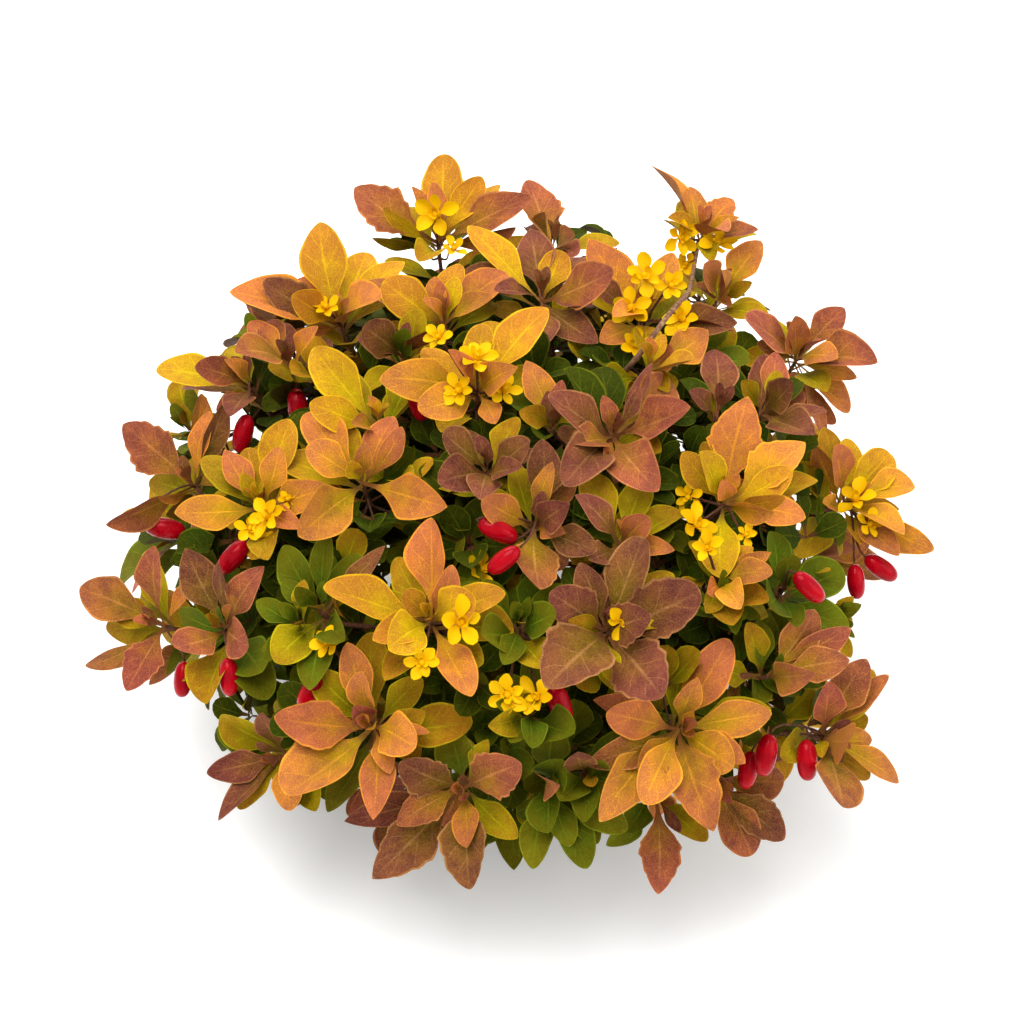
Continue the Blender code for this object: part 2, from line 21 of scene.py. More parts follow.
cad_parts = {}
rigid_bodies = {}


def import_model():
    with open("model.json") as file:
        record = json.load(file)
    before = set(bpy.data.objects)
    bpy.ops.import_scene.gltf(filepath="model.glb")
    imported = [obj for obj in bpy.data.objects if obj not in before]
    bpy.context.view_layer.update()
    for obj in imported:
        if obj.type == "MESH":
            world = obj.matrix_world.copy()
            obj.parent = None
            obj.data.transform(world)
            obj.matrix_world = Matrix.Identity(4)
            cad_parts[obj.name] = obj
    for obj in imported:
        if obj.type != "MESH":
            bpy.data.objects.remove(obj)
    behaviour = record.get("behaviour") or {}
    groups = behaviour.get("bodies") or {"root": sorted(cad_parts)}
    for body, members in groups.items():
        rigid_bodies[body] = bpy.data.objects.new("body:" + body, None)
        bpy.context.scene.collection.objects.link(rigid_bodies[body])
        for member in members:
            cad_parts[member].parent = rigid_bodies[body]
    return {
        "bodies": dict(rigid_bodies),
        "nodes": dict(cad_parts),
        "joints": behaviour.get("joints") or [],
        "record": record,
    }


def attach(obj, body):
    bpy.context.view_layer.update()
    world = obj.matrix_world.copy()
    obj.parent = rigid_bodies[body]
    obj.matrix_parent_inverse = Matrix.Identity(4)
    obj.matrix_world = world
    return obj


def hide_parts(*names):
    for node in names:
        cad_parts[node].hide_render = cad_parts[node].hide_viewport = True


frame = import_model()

bl_info = {
    "name": "Japanese barberry",
    "version": (1, 0, 0),
    "blender": (4, 5, 0),
    "location": "3D View > Sidebar > Barberry",
    "description": "A low shrub in autumn colour, with flowers and berries, on its packed frame",
    "category": "Object",
}

MM = 0.001
GAP = 0.3 * MM
UP = Vector((0, 0, 1))
GOLDEN_ANGLE = math.radians(137.508)
FULL_TURN = 6.28

# The crown: the rosettes' hubs lie on this ellipsoid.
CROWN_CENTRE = Vector((0, 0, 70 * MM))
CROWN_AXES = Vector((94 * MM, 94 * MM, 51 * MM))
LOWEST_LEAF = 3 * MM
UPTURN = 1.1
LIGHT_TURN = 0.3

# The view that the tables below are written in.
VIEW_ELEVATION = math.radians(45)
VIEW_DISTANCE = 0.9
TO_EYE = Vector((0, -math.cos(VIEW_ELEVATION), math.sin(VIEW_ELEVATION)))
VIEW_RIGHT = Vector((1, 0, 0))
VIEW_UP = Vector((0, math.sin(VIEW_ELEVATION), math.cos(VIEW_ELEVATION)))

# Main stem and boughs.
FOOT_RADIUS = 9 * MM
WAIST_RADIUS = 5.5 * MM
WAIST_HEIGHT = 11 * MM
BURL_CENTRE = Vector((1 * MM, 0, 22 * MM))
BURL_RADIUS = 7 * MM
# Heights of the stem's rings (mm).
STEM_HEIGHTS = (0, 1, 2, 3.2, 4.6, 6, 8, 10, 12, 14, 15.5, 17, 19, 21, 23, 25, 26.6, 27.8, 28.6)
BOUGHS = 13
HIGHEST_BOUGH = 0.95
LOWEST_BOUGH = -0.20
BOUGH_TIP_AXES = Vector((44 * MM, 44 * MM, 24 * MM))
BOUGH_TIP_CENTRE = Vector((0, 0, 66 * MM))
BOUGH_BASE_RADIUS = 1.45 * MM
BOUGH_TIP_RADIUS = 1.1 * MM
BOUGH_SPREAD = math.radians(29)
BOUGH_STEPS = 14
SPREAD_ROUNDS = 60
SPREAD_STEP = 0.12
KNOB_RADIUS = 2.6 * MM
# Rings of the knob at a bough's end: how far ahead and how wide (mm).
KNOB_RINGS = ((0.0, 1.7), (0.9, 2.1), (1.8, 1.9), (2.6, 1.0))
STEMS_PER_BOUGH = 4

# Twigs.
STEM_SPREAD = math.radians(44)
STEM_STEPS = 4
SIDE_TWIG_STEPS = 3
SIDE_TWIG_STEP = 2
HUB_RADIUS = 2.9 * MM
FINE_STEPS = 12
THORN_STEPS = (3, 5, 7, 9)
THORN_RADII = (0.32 * MM, 0.18 * MM, 0.02 * MM)
CLOSED = 1e-6

# Leaves.
LEAF_THICKNESS = 0.8 * MM
LEAF_ROOT = 1.2 * MM
LEAF_BASE = 0.05
LEAF_WIDEST = 0.63
SPOON_POWER = 0.8
LEAF_CUP = 0.09
LEAF_DROOP = 0.10
BLADE_FROM = 0.3
OUTER_LEAVES = 5
INNER_LEAVES = 1
OUTER_TILT = 66
INNER_TILT = 36
INNER_TURN = 30
INNER_SIZE = 0.72
TWIG_LEAF_TILT = 62
TWIG_LEAF_TURN = 2.6
TWIG_LEAF_SIZES = (0.52, 0.66)
TURN_VARIES = 0.14
TILT_VARIES = 8
SIZE_VARIES = (0.9, 1.06)
# What a leaf tries in turn where its place is taken: tilt change (degrees) and length.
LEAF_TRIES = ((0, 1), (-14, 1), (12, 1), (-26, 0.9), (0, 0.75), (-14, 0.7), (-30, 0.6))
LEAF_CLEARANCE = 0.35 * MM
# Where it is tested against the openings: ahead and aside, as shares of its length.
LEAF_PROBES = ((1.0, 0.0), (0.7, 0.2), (0.7, -0.2), (0.45, 0.0))

# Rosettes that show from the front. Those with one name share a spray, and the first one leads.
# Columns: spray, across and up in the view (mm), size, spin (degrees), tint.
ROSETTES = (
    ("gold_star", -21, -28, 1.08, 28, "gold"),
    ("orange_star", 48, -58, 1.10, 18, "copper"),
    ("low_pink", -37, -57, 1.06, 39, "apricot"),
    ("right_gold", 61, 5, 1.05, 14, "gold"),
    ("mauve_star", 30, 24, 0.95, 8, "mauve"),
    ("low_mauve", 28, -31, 1.00, 36, "mauve"),
    ("left_apricot", -40, 11, 1.00, 20, "apricot"),
    ("front_rose", -12, -74, 0.98, 23, "rose"),
    ("centre_rose", 8, -1, 0.80, 10, "rose"),
    ("centre_rose", -5, 14, 0.70, 70, "mauve"),
    ("middle_flowers", -8, 36, 0.95, 40, "gold"),
    ("gold_shoulder", -35, 26, 1.05, 65, "gold"),
    ("left_flowers", -68, 4, 1.00, 50, "gold"),
    ("left_rose", -87, 10, 0.95, 35, "rose"),
    ("far_left", -95, -29, 1.00, 55, "rose"),
    ("far_left", -78, -30, 0.80, 10, "olive"),
    ("left_shoulder", -71, 38, 0.95, 25, "mauve"),
    ("left_shoulder", -60, 43, 0.80, 10, "mauve"),
    ("upper_gold", -46, 55, 1.05, 30, "gold"),
    ("upper_mixed", -17, 55, 0.95, 5, "rose"),
    ("upper_mixed", -29, 46, 0.70, 5, "mauve"),
    ("crest_gold", -19, 78, 1.00, 30, "gold"),
    ("crest_dark", 10, 62, 1.00, 20, "mauve"),
    ("crest_dark", 13, 76, 0.80, 20, "mauve"),
    ("flower_shoot", 38, 56, 0.95, 50, "apricot"),
    ("tall_shoot", 54, 79, 0.80, 15, "rose"),
    ("tall_shoot", 59, 62, 0.70, 15, "rose"),
    ("right_shoulder", 81, 45, 0.90, 40, "rose"),
    ("right_shoulder", 72, 31, 0.85, 0, "mauve"),
    ("right_shoulder", 59, 30, 0.70, 0, "mauve"),
    ("far_right", 94, 5, 0.95, 25, "gold"),
    ("right_rose", 32, -6, 0.92, 30, "rose"),
    ("right_green", 73, -43, 0.85, 45, "olive"),
    ("low_right", 88, -60, 0.98, 15, "rose"),
    ("low_left", -62, -65, 0.95, 60, "rose"),
    ("front_green", 12, -72, 0.85, 0, "green"),
)
# Smaller ones that grow on from those sprays, likewise.
LATE_ROSETTES = (
    ("orange_star", 57, -73, 0.9, 0, "rose"),
    ("orange_star", 42, -76, 0.9, 0, "rose"),
    ("right_gold", 59.4, -16.8, 0.6, 0, "olive"),
    ("gold_star", -51.5, -25, 0.7, 0, "green"),
    ("front_green", 22.1, -69.7, 0.8, 0, "green"),
    ("front_green", 6.7, -53.0, 0.7, 0, "green"),
    ("low_mauve", 3.6, -29.4, 0.7, 0, "green"),
    ("mauve_star", 13.2, 26.6, 0.7, 0, "olive"),
    ("flower_shoot", 40, 42.5, 0.8, 0, "copper"),
    ("right_gold", 77, -20, 0.7, 0, "green"),
)

# Leaves set one by one, by rosette: where the tip shows across and up in the view from the
# crown's centre (mm), then a letter each for the leaf's size, outline and tint.
LEAVES_SEEN = {
    "crest_gold": (
        (-24.6, 73.1, "Mso"), (-17.6, 103.6, "Lsg"), (-42.8, 94.1, "Ltr"), (-34.4, 88.5, "Mng"),
        (-20.4, 95.5, "Ssc"), (-26.3, 94.1, "Ssa"), (-1.4, 95.2, "Lng"), (-6.7, 96.9, "Msg"),
        (7.6, 91.8, "Lsr"), (3.4, 82.9, "Mnc"), (-37.5, 79.8, "Mbo"),
    ),
    "crest_dark_2": (
        (6.2, 96.3, "Ltr"), (20.2, 75.0, "Msr"), (10.9, 87.1, "Lbc"), (19.3, 80.4, "Msr"),
    ),
    "upper_gold": (
        (-52.4, 85.1, "Lpg"), (-38.9, 75.9, "Lsg"), (-78.1, 65.0, "Lsa"), (-68.3, 68.0, "Mtm"),
        (-56.8, 69.2, "Msa"), (-59.9, 63.8, "Msg"), (-34.4, 63.3, "Lsa"), (-42.6, 61.9, "Ssc"),
        (-58.5, 54.3, "Snc"), (-28.0, 73.6, "Msg"),
    ),
    "upper_mixed": (
        (-40.6, 67.2, "Lnr"), (-34.7, 68.0, "Mrg"), (-13.4, 72.5, "Msg"), (-19.9, 68.9, "Ssa"),
        (-18.5, 67.5, "Ssc"), (-13.7, 68.6, "Ssg"), (-23.2, 62.4, "Ssa"), (0.8, 70.3, "Lsc"),
        (-3.6, 63.3, "Mnc"), (-3.1, 61.6, "Mso"),
    ),
    "upper_mixed_2": (
        (-40.0, 54.9, "Mrm"), (-21.3, 54.0, "Mnm"), (-27.4, 54.0, "Sre"), (-37.5, 47.9, "Ssm"),
    ),
    "middle_flowers": (
        (-36.4, 40.6, "Lsa"), (-24.9, 31.6, "Mra"), (-6.4, 56.0, "Msg"), (-16.2, 48.4, "Mna"),
        (3.4, 43.7, "Msa"), (12.3, 61.0, "Lsg"), (-3.1, 28.0, "Ssa"),
    ),
    "gold_shoulder": (
        (-54.3, 49.3, "Lsg"), (-54.9, 33.6, "Msg"), (-27.4, 37.8, "Mso"), (-43.1, 27.7, "Ssc"),
    ),
    "left_apricot": (
        (-55.4, 31.6, "Lsa"), (-55.7, 21.3, "Mra"), (-58.5, -3.9, "Lsc"), (-16.2, 4.5, "Lsa"),
        (-29.1, 26.9, "Mnc"), (-39.5, 22.7, "Ssc"), (-43.7, 16.8, "Trg"), (-25.5, 21.8, "Mne"),
        (-48.4, 0.0, "Mne"),
    ),
    "left_flowers": (
        (-93.0, 2.8, "Lsa"), (-78.7, 20.4, "Msc"), (-60.5, 29.4, "Lsg"), (-63.3, 21.3, "Msa"),
        (-73.6, 13.4, "Sso"), (-49.6, 10.1, "Msa"), (-66.6, -10.4, "Mso"), (-57.1, -1.4, "Ssa"),
    ),
    "left_rose": (
        (-107.5, 27.7, "Ltr"), (-85.1, 36.4, "Lnc"), (-78.7, 33.6, "Mnm"), (-82.9, 31.6, "Ssa"),
        (-112.3, -0.6, "Lnr"), (-96.9, 7.3, "Sna"), (-99.7, 12.0, "Mso"), (-78.1, 15.4, "Snc"),
    ),
    "left_shoulder": (
        (-98.3, 43.4, "Lsg"), (-87.1, 43.7, "Msr"), (-80.9, 31.6, "Ssr"), (-77.3, 29.7, "Msm"),
        (-78.7, 45.6, "Ssa"),
    ),
    "left_shoulder_2": (
        (-76.4, 47.9, "Lsr"), (-71.7, 56.3, "Msc"), (-67.5, 56.3, "Msr"), (-63.3, 56.0, "Msr"),
        (-52.6, 54.9, "Mna"),
    ),
    "centre_rose_2": (
        (-17.6, 25.2, "Mrm"), (6.7, 23.2, "Msm"), (-19.3, 11.2, "Mrm"), (4.8, 15.7, "Mnm"),
        (-7.3, 6.4, "Msm"),
    ),
    "crest_dark": (
        (6.7, 82.6, "Lsm"), (-10.9, 83.4, "Lng"), (15.7, 75.9, "Mrg"), (24.1, 60.5, "Mnm"),
        (-3.4, 65.0, "Mnm"), (30.5, 70.8, "Lsr"), (9.5, 49.0, "Msm"), (25.8, 50.4, "Msm"),
        (29.1, 54.0, "Mne"),
    ),
    "flower_shoot": (
        (23.0, 79.8, "Lsa"), (22.4, 69.4, "Mnm"), (29.7, 57.7, "Mna"), (26.3, 50.7, "Msc"),
        (65.0, 56.0, "Msm"), (65.0, 53.2, "Mnr"), (46.8, 75.6, "Msa"),
    ),
    "tall_shoot": (
        (57.7, 73.1, "Sso"), (40.0, 100.8, "Lba"), (51.5, 94.1, "Msc"), (61.9, 81.5, "Msc"),
        (63.6, 90.7, "Mta"), (70.6, 82.0, "Mnr"), (65.0, 85.4, "Ssa"), (45.4, 85.4, "Ssg"),
    ),
    "tall_shoot_2": (
        (55.4, 72.5, "Msc"), (53.5, 66.1, "Ssr"), (71.4, 79.2, "Msc"), (68.6, 67.2, "Sno"),
        (60.5, 70.8, "Msa"), (73.6, 58.0, "Mno"), (62.7, 60.5, "Tsr"),
    ),
    "right_shoulder": (
        (89.6, 36.7, "Mso"), (94.9, 60.5, "Msr"), (80.9, 58.0, "Msc"), (78.4, 56.0, "Mnc"),
        (66.4, 57.7, "Lsr"), (70.3, 50.4, "Msr"), (104.4, 44.8, "Lsr"), (98.3, 40.6, "Ssc"),
        (93.0, 46.2, "Msc"), (95.8, 30.8, "Msc"), (92.4, 27.4, "Mnc"), (89.3, 22.4, "Mnr"),
        (66.1, 45.6, "Sro"),
    ),
    "right_shoulder_2": (
        (75.6, 47.9, "Msr"), (76.2, 42.3, "Sso"), (80.4, 39.5, "Msm"), (86.5, 24.6, "Lsm"),
        (66.1, 39.5, "Sso"),
    ),
    "right_shoulder_3": (
        (58.5, 48.7, "Lsm"), (51.5, 36.7, "Ssm"),
    ),
    "mauve_star": (
        (11.2, 36.1, "Lsm"), (24.1, 42.3, "Lsm"), (27.2, 35.3, "Ssr"), (37.5, 38.1, "Snm"),
        (40.9, 44.8, "Mnm"), (45.9, 40.6, "Lsr"), (51.8, 32.5, "Lsr"), (15.7, 10.1, "Lsm"),
        (43.1, 8.4, "Lsr"), (43.4, 19.9, "Mso"), (27.7, 15.7, "Snc"), (30.5, 11.2, "Snm"),
        (17.9, 22.4, "Msr"), (31.4, 30.8, "Tnm"),
    ),
    "right_gold": (
        (67.8, 35.8, "Lta"), (59.4, 28.6, "Lsg"), (49.3, 19.9, "Msg"), (54.3, 19.9, "Msg"),
        (60.5, 12.0, "Ssa"), (84.0, 22.7, "Lta"), (80.1, 14.8, "Msg"), (78.1, 7.3, "Mng"),
        (75.3, 2.8, "Mna"), (84.0, 1.4, "Msa"), (60.5, -15.7, "Mrg"),
    ),
    "far_right": (
        (110.0, -9.2, "Msc"), (95.8, 23.5, "Msg"), (107.5, 19.6, "Mrg"), (114.5, 10.9, "Msa"),
        (120.1, -7.6, "Lna"), (86.5, 21.8, "Mna"), (92.1, 21.8, "Msc"), (80.1, 16.8, "Mso"),
        (88.8, 5.6, "Ssa"), (80.9, -9.5, "Mso"), (99.1, -5.6, "Ssg"), (111.7, -3.4, "Msa"),
    ),
    "gold_star": (
        (-51.5, -17.9, "Lsg"), (-21.0, 1.7, "Lsa"), (-27.7, -13.2, "Mso"), (-15.1, -11.8, "Msc"),
        (-31.1, -9.8, "Mso"), (-28.8, -20.2, "Srg"), (-8.4, -21.6, "Mrg"), (0.0, -19.6, "Msg"),
        (2.2, -30.8, "Mro"), (-6.4, -39.2, "Mso"), (-9.5, -48.7, "Msa"), (-33.0, -35.6, "Mrg"),
        (-33.9, -44.0, "Mso"), (-37.5, -32.8, "Msg"),
    ),
    "low_pink": (
        (-65.2, -54.3, "Ltc"), (-62.2, -76.2, "Lrc"), (-37.2, -83.4, "Msc"), (-44.5, -33.3, "Msc"),
        (-40.3, -41.7, "Msc"), (-42.3, -51.5, "Srr"), (-25.2, -63.0, "Mra"), (-21.8, -58.8, "Sna"),
        (-22.7, -52.9, "Mso"), (-32.5, -70.0, "Ssa"), (-23.2, -43.4, "Mso"), (-52.9, -44.5, "Mso"),
        (-9.2, -55.7, "Mro"), (-50.1, -81.2, "Mse"),
    ),
    "front_rose": (
        (-29.7, -66.9, "Mwm"), (-15.7, -57.4, "Mre"), (-5.0, -60.8, "Mno"), (4.2, -67.2, "Mwr"),
        (3.1, -88.2, "Mso"), (-10.9, -90.7, "Msc"), (-10.1, -103.6, "Ltm"), (-30.5, -84.6, "Mtr"),
        (-37.8, -100.0, "Ltm"), (-45.9, -83.7, "Msm"),
    ),
    "far_left": (
        (-112.0, -30.0, "Mso"), (-119.8, -17.9, "Lsr"), (-118.2, -40.6, "Lnr"), (-106.4, -47.3, "Mtr"),
        (-98.3, -6.2, "Lnr"), (-101.6, -17.9, "Mso"), (-87.1, -16.0, "Sna"), (-105.3, -30.5, "Mso"),
    ),
    "far_left_2": (
        (-68.3, -41.7, "Mre"), (-66.6, -49.6, "Mre"), (-89.9, -7.0, "Lsm"), (-67.5, -11.8, "Msr"),
        (-80.6, -11.2, "Mnm"), (-91.6, -24.9, "Mse"), (-92.7, -34.7, "Mrr"), (-72.0, -34.7, "Mrr"),
        (-76.7, -23.2, "Snc"), (-84.0, -50.7, "Mro"),
    ),
    "low_left": (
        (-53.2, -80.6, "Mso"), (-58.5, -79.2, "Mse"), (-81.2, -57.4, "Mse"), (-83.7, -70.0, "Msm"),
        (-80.6, -83.4, "Mnm"), (-68.0, -53.2, "Msm"), (-60.5, -80.9, "Msa"),
    ),
    "low_mauve": (
        (12.3, -19.6, "Mwm"), (40.9, -26.0, "Mwm"), (54.9, -18.8, "Lwm"), (10.4, -46.8, "Lwm"),
        (44.0, -49.0, "Lwm"), (30.5, -44.5, "Sso"), (16.0, -28.6, "Mso"), (43.7, -29.1, "Sno"),
        (20.7, -11.2, "Msm"), (38.4, -3.4, "Mrm"),
    ),
    "right_rose": (
        (39.8, 1.7, "Mrc"), (19.3, 7.8, "Msm"), (47.0, -7.6, "Ssc"), (23.5, -10.4, "Msm"),
    ),
    "centre_rose": (
        (10.4, 23.8, "Lsm"), (12.9, 16.8, "Ssc"), (-6.7, 6.4, "Msc"), (17.9, 5.6, "Msm"),
        (16.5, -2.8, "Ssc"), (9.5, -18.5, "Mwr"), (25.5, -7.6, "Msm"), (9.5, 6.4, "Tsm"),
    ),
    "orange_star": (
        (27.7, -53.2, "Mrc"), (74.5, -53.2, "Lsc"), (53.5, -43.4, "Msc"), (55.4, -39.2, "Mna"),
        (49.6, -34.7, "Mso"), (24.4, -49.6, "Msc"), (22.4, -67.8, "Msr"), (25.8, -84.0, "Lsc"),
        (37.2, -69.2, "Ssa"), (38.1, -79.0, "Mra"), (47.3, -67.8, "Tso"), (63.6, -68.3, "Mra"),
        (66.9, -67.2, "Msa"), (58.5, -87.4, "Ltc"),
    ),
    "orange_star_2": (
        (68.9, -93.0, "Lrr"), (78.4, -88.5, "Ltm"),
    ),
    "orange_star_3": (
        (42.6, -104.2, "Ltr"), (33.9, -86.5, "Mse"), (28.0, -90.4, "Mse"), (48.7, -86.0, "Snm"),
    ),
    "flower_shoot_2": (
        (56.6, 54.0, "Lsc"), (52.1, 45.6, "Msg"), (37.5, 49.8, "Sso"), (45.4, 36.7, "Sso"),
    ),
    "right_gold_2": (
        (56.3, -19.6, "Ssa"), (74.8, -14.0, "Msc"), (73.4, -21.8, "Mso"), (63.6, -28.6, "Mso"),
        (73.9, -8.4, "Ssc"), (68.9, -7.0, "Ssg"), (56.0, -24.9, "Sso"), (65.8, -24.1, "Msa"),
    ),
    "right_gold_3": (
        (84.6, -22.1, "Mre"), (85.7, -18.2, "Mre"), (94.4, -13.2, "Mre"), (73.4, -10.9, "Mre"),
        (80.1, -9.2, "Sre"), (73.4, -23.0, "Mre"), (81.2, -28.8, "Sre"), (95.8, -29.4, "Mse"),
    ),
    "gold_star_2": (
        (-62.4, -6.2, "Mse"), (-64.7, -38.9, "Mro"), (-58.5, -18.2, "Sse"), (-50.1, -2.5, "Sse"),
        (-45.1, -32.8, "Mse"), (-54.9, -46.8, "Mse"), (-37.5, -10.9, "Mso"), (-33.9, -6.4, "Ssm"),
    ),
    "front_green_2": (
        (15.1, -77.6, "Mre"), (28.0, -78.4, "Mre"), (22.1, -83.7, "Mse"), (20.2, -64.1, "Msm"),
        (32.5, -73.4, "Mre"), (26.3, -66.4, "Sre"),
    ),
    "front_green_3": (
        (-5.0, -56.8, "Mso"), (19.0, -58.8, "Mre"), (7.3, -63.0, "Sre"), (-2.5, -50.4, "Sse"),
        (1.7, -61.3, "Sre"),
    ),
    "low_mauve_2": (
        (9.8, -16.5, "Mre"), (14.0, -25.5, "Mre"), (-1.7, -19.3, "Mre"), (11.2, -40.6, "Mro"),
        (-0.8, -39.5, "Sre"), (-6.7, -31.1, "Mre"),
    ),
    "mauve_star_2": (
        (5.6, 45.4, "Msc"), (15.7, 39.8, "Ssr"), (3.9, 31.1, "Sso"), (20.2, 33.0, "Sso"),
        (11.8, 36.7, "Ssm"),
    ),
    "right_green": (
        (70.3, -27.4, "Mse"), (86.5, -24.4, "Mrr"), (86.8, -42.0, "Msr"), (59.9, -41.2, "Mso"),
        (66.1, -42.0, "Snm"), (67.5, -28.0, "Mso"), (96.6, -29.4, "Msr"), (96.3, -38.4, "Msr"),
        (87.9, -31.9, "Mnr"),
    ),
    "low_right": (
        (90.2, -44.5, "Msr"), (101.1, -37.8, "Lsr"), (96.3, -60.8, "Mra"), (102.5, -60.8, "Msc"),
        (110.3, -72.8, "Lnc"), (107.2, -42.6, "Mnc"), (94.4, -79.8, "Lrr"), (76.7, -65.5, "Mso"),
        (88.5, -65.5, "Sng"), (93.5, -66.9, "Ssm"),
    ),
    "front_green": (
        (16.2, -66.4, "Mre"), (11.8, -86.8, "Mre"), (17.9, -90.7, "Mse"), (7.6, -96.9, "Mse"),
        (22.7, -96.9, "Mse"), (25.8, -89.6, "Mse"), (34.2, -86.0, "Mse"), (13.2, -57.1, "Mre"),
        (15.1, -73.4, "Msr"),
    ),
}
# What those letters stand for. Size: length as a share of a full leaf, and lean from the rosette's
# axis (degrees).
LEAF_SIZES = {"L": (1.0, 66), "M": (0.74, 56), "S": (0.47, 38), "T": (0.3, 22)}
LEAF_OUTLINES = {
    "s": "smooth", "t": "toothed", "r": "broad", "n": "narrow", "b": "blade", "p": "pointed",
    "w": "wide",
}
LEAF_TINTS = {
    "g": "gold", "a": "apricot", "r": "rose", "m": "mauve", "c": "copper", "o": "olive",
    "e": "green",
}
# How far a leaf of these outlines is rolled about its own length (radians).
ROLLS = {"narrow": (0.55, 0.9), "blade": (1.2, 1.4)}
# Leaves of these tints stand lower on their rosette and lean out further (degrees).
LOWER_TINTS = ("olive", "green")
LOWER_TILT = 76
LOWER_STEP = 3.5 * MM
# How such a leaf finds its depth: steps along the line of sight (mm), what counts as far off its
# lean and its length, what a place too low costs, and which places are tried.
TIP_STEPS = range(-36, 37, 2)
LEAN_SLACK = math.radians(17)
LENGTH_SLACK = 0.15
LOW_COST = 4
WORST_COST = 6
MOST_TIPS = 14

# Berries that show, by spray: place across and up in the view from the crown's centre (mm), lean
# from hanging straight down (degrees), and how far they stand out to the front (mm).
BERRIES = {
    "left_shoulder": ((-73.6, 25.0, -14, 14), (-58.2, 32.0, 8, 2)),
    "middle_flowers": ((-24.6, 33.5, 18, 2),),
    "left_rose": ((-95.5, -1.5, 80, 2),),
    "left_flowers": ((-76.4, -9.5, -42, 0),),
    "far_left": ((-77.6, -43.1, 2, 8), (-90.5, -43.8, -5, 0)),
    "centre_rose": ((-2.2, -2.2, 66, 7), (-0.6, -10.4, -52, 16)),
    "low_mauve": ((15.0, -50.5, 20, 2),),
    "low_pink": ((-54.9, -47.3, -30, 0),),
    "far_right": ((105.0, -12.6, 56, 4), (98.0, -16.4, 6, 6)),
    "right_gold": ((84.8, -18.0, 46, 10),),
    "low_right": ((67.8, -69.2, -10, 10), (72.8, -65.0, -10, 16), (84.3, -66.4, 3, 12)),
}
# Flowers that show, likewise, with their size instead of the lean.
FLOWERS = {
    "crest_gold": ((-19.3, 86.5, 1.3, 7), (-14.6, 76.5, 0.8, 9)),
    "upper_gold": ((-50.1, 60.2, 0.85, 8),),
    "middle_flowers": (
        (-8.1, 46.2, 1.15, 8), (-13.2, 37.0, 0.95, 10), (-0.6, 37.4, 0.9, 8), (-18.8, 51.8, 0.8, 4),
    ),
    "left_flowers": (
        (-66.8, 2.0, 1.1, 9), (-71.8, -1.6, 0.75, 8), (-67.2, -6.0, 0.75, 8), (-61.0, 6.4, 0.65, 8),
    ),
    "flower_shoot": (
        (38.9, 69.2, 1.1, 7), (35.0, 60.2, 1.1, 10), (36.6, 49.6, 0.95, 12), (49.4, 57.0, 1.1, 8),
        (46.0, 66.4, 0.85, 5),
    ),
    "tall_shoot": ((48.6, 80.0, 1.1, 6), (59.2, 78.0, 1.05, 7), (50.6, 72.6, 0.75, 4)),
    "right_gold": (
        (53.2, -0.6, 1.05, 9), (51.2, 7.2, 0.8, 6), (56.4, -6.8, 0.85, 9), (67.0, -3.4, 0.65, 9),
    ),
    "far_right": ((98.0, 6.6, 1.15, 9), (101.6, -0.4, 0.85, 8)),
    "gold_star": ((-12.9, -27.6, 1.2, 15), (-23.6, -38.9, 0.9, 12)),
    "low_mauve": ((32.4, -27.6, 0.85, 8), (0.4, -48.0, 1.05, 8), (8.6, -48.4, 1.05, 8)),
    "centre_rose": ((-7.2, -12.9, 1.0, 2),),
    "low_pink": ((-49.6, -33.8, 0.95, 4),),
}

# Where the front view looks past the plant between its sprays: circles across and up in the view
# from the crown's centre, and their radius (mm). Leaves that are not set one by one keep out.
OPENINGS = (
    (-97, -62, 16), (134, -34, 28), (-57, -98, 16), (25, 101, 15), (13, -120, 24), (-119, 13, 14),
    (92, -97, 16), (86, 72, 12), (119, 32, 17), (62, -111, 18), (-90, 60, 12), (-122, -7, 10),
    (121, -61, 15), (1, 112, 16), (-78, 91, 24), (-22, -106, 10), (126, 3, 12), (106, -81, 9),
    (37, 84, 7), (105, -29, 8), (-124, -31, 9), (30, -99, 8), (-32, 104, 10), (-101, 35, 7),
    (-109, -8, 7), (-123, -61, 20), (-72, -94, 12), (102, 54, 7), (110, -52, 9), (82, -80, 6),
    (78, 83, 7), (50, 102, 8), (-87, -79, 7), (105, 30, 10), (-53, 96, 10), (38, -112, 9),
    (-111, 59, 19), (79, 67, 9), (70, 88, 5), (60, 97, 7), (76, -101, 11), (-42, 83, 5), (86, -17, 9),
    (-1, -103, 7), (-115, 38, 12), (20, 88, 6), (-79, 57, 6), (-9, -108, 4), (-126, -20, 6),
    (115, -11, 5), (38, 90, 7), (52, -90, 4), (-95, 29, 4), (-34, -105, 4), (-62, 71, 4),
    (-83, 52, 6), (127, 24, 17), (100, -74, 4), (-42, -92, 4), (-66, -83, 4), (-45, 86, 4),
    (99, -35, 3), (55, 118, 23), (-106, 11, 5), (-111, -44, 4), (-96, -48, 5), (96, 36, 3),
    (107, -23, 6), (101, 63, 6), (-45, -78, 3), (-80, -77, 4), (-73, 26, 5),
)

# Where the floor would show through the crown: extra tufts of deep leaves, mostly in the shade tint's
# painted shade, across and up (mm).
SHADE_PLACES = (
    (-7, 5), (-2, -6), (12, 24), (19, -63), (-3, -57), (14, -62), (68, -51), (73, -41), (84, -4),
    (23, 58), (31, 77), (54, 44), (-16, 76), (88, 6), (-70, -37), (-70, -30), (-71, 40), (73, -50),
    (-22, 76), (27, 45), (-6, 18), (4, -1), (25, -70), (-39, -30), (-62, -4), (17, -70), (61, -70),
    (-4, 57), (-57, 57), (-88, 28), (-77, 37), (-71, -54), (-92, -5), (84, -57), (22, 0),
    (-12, -15), (-6, 17), (-15, 5), (-12, 2), (-70, -27), (69, -40), (22, 51), (-61, -4), (54, 62),
)
SHADE_DEPTH = 16 * MM

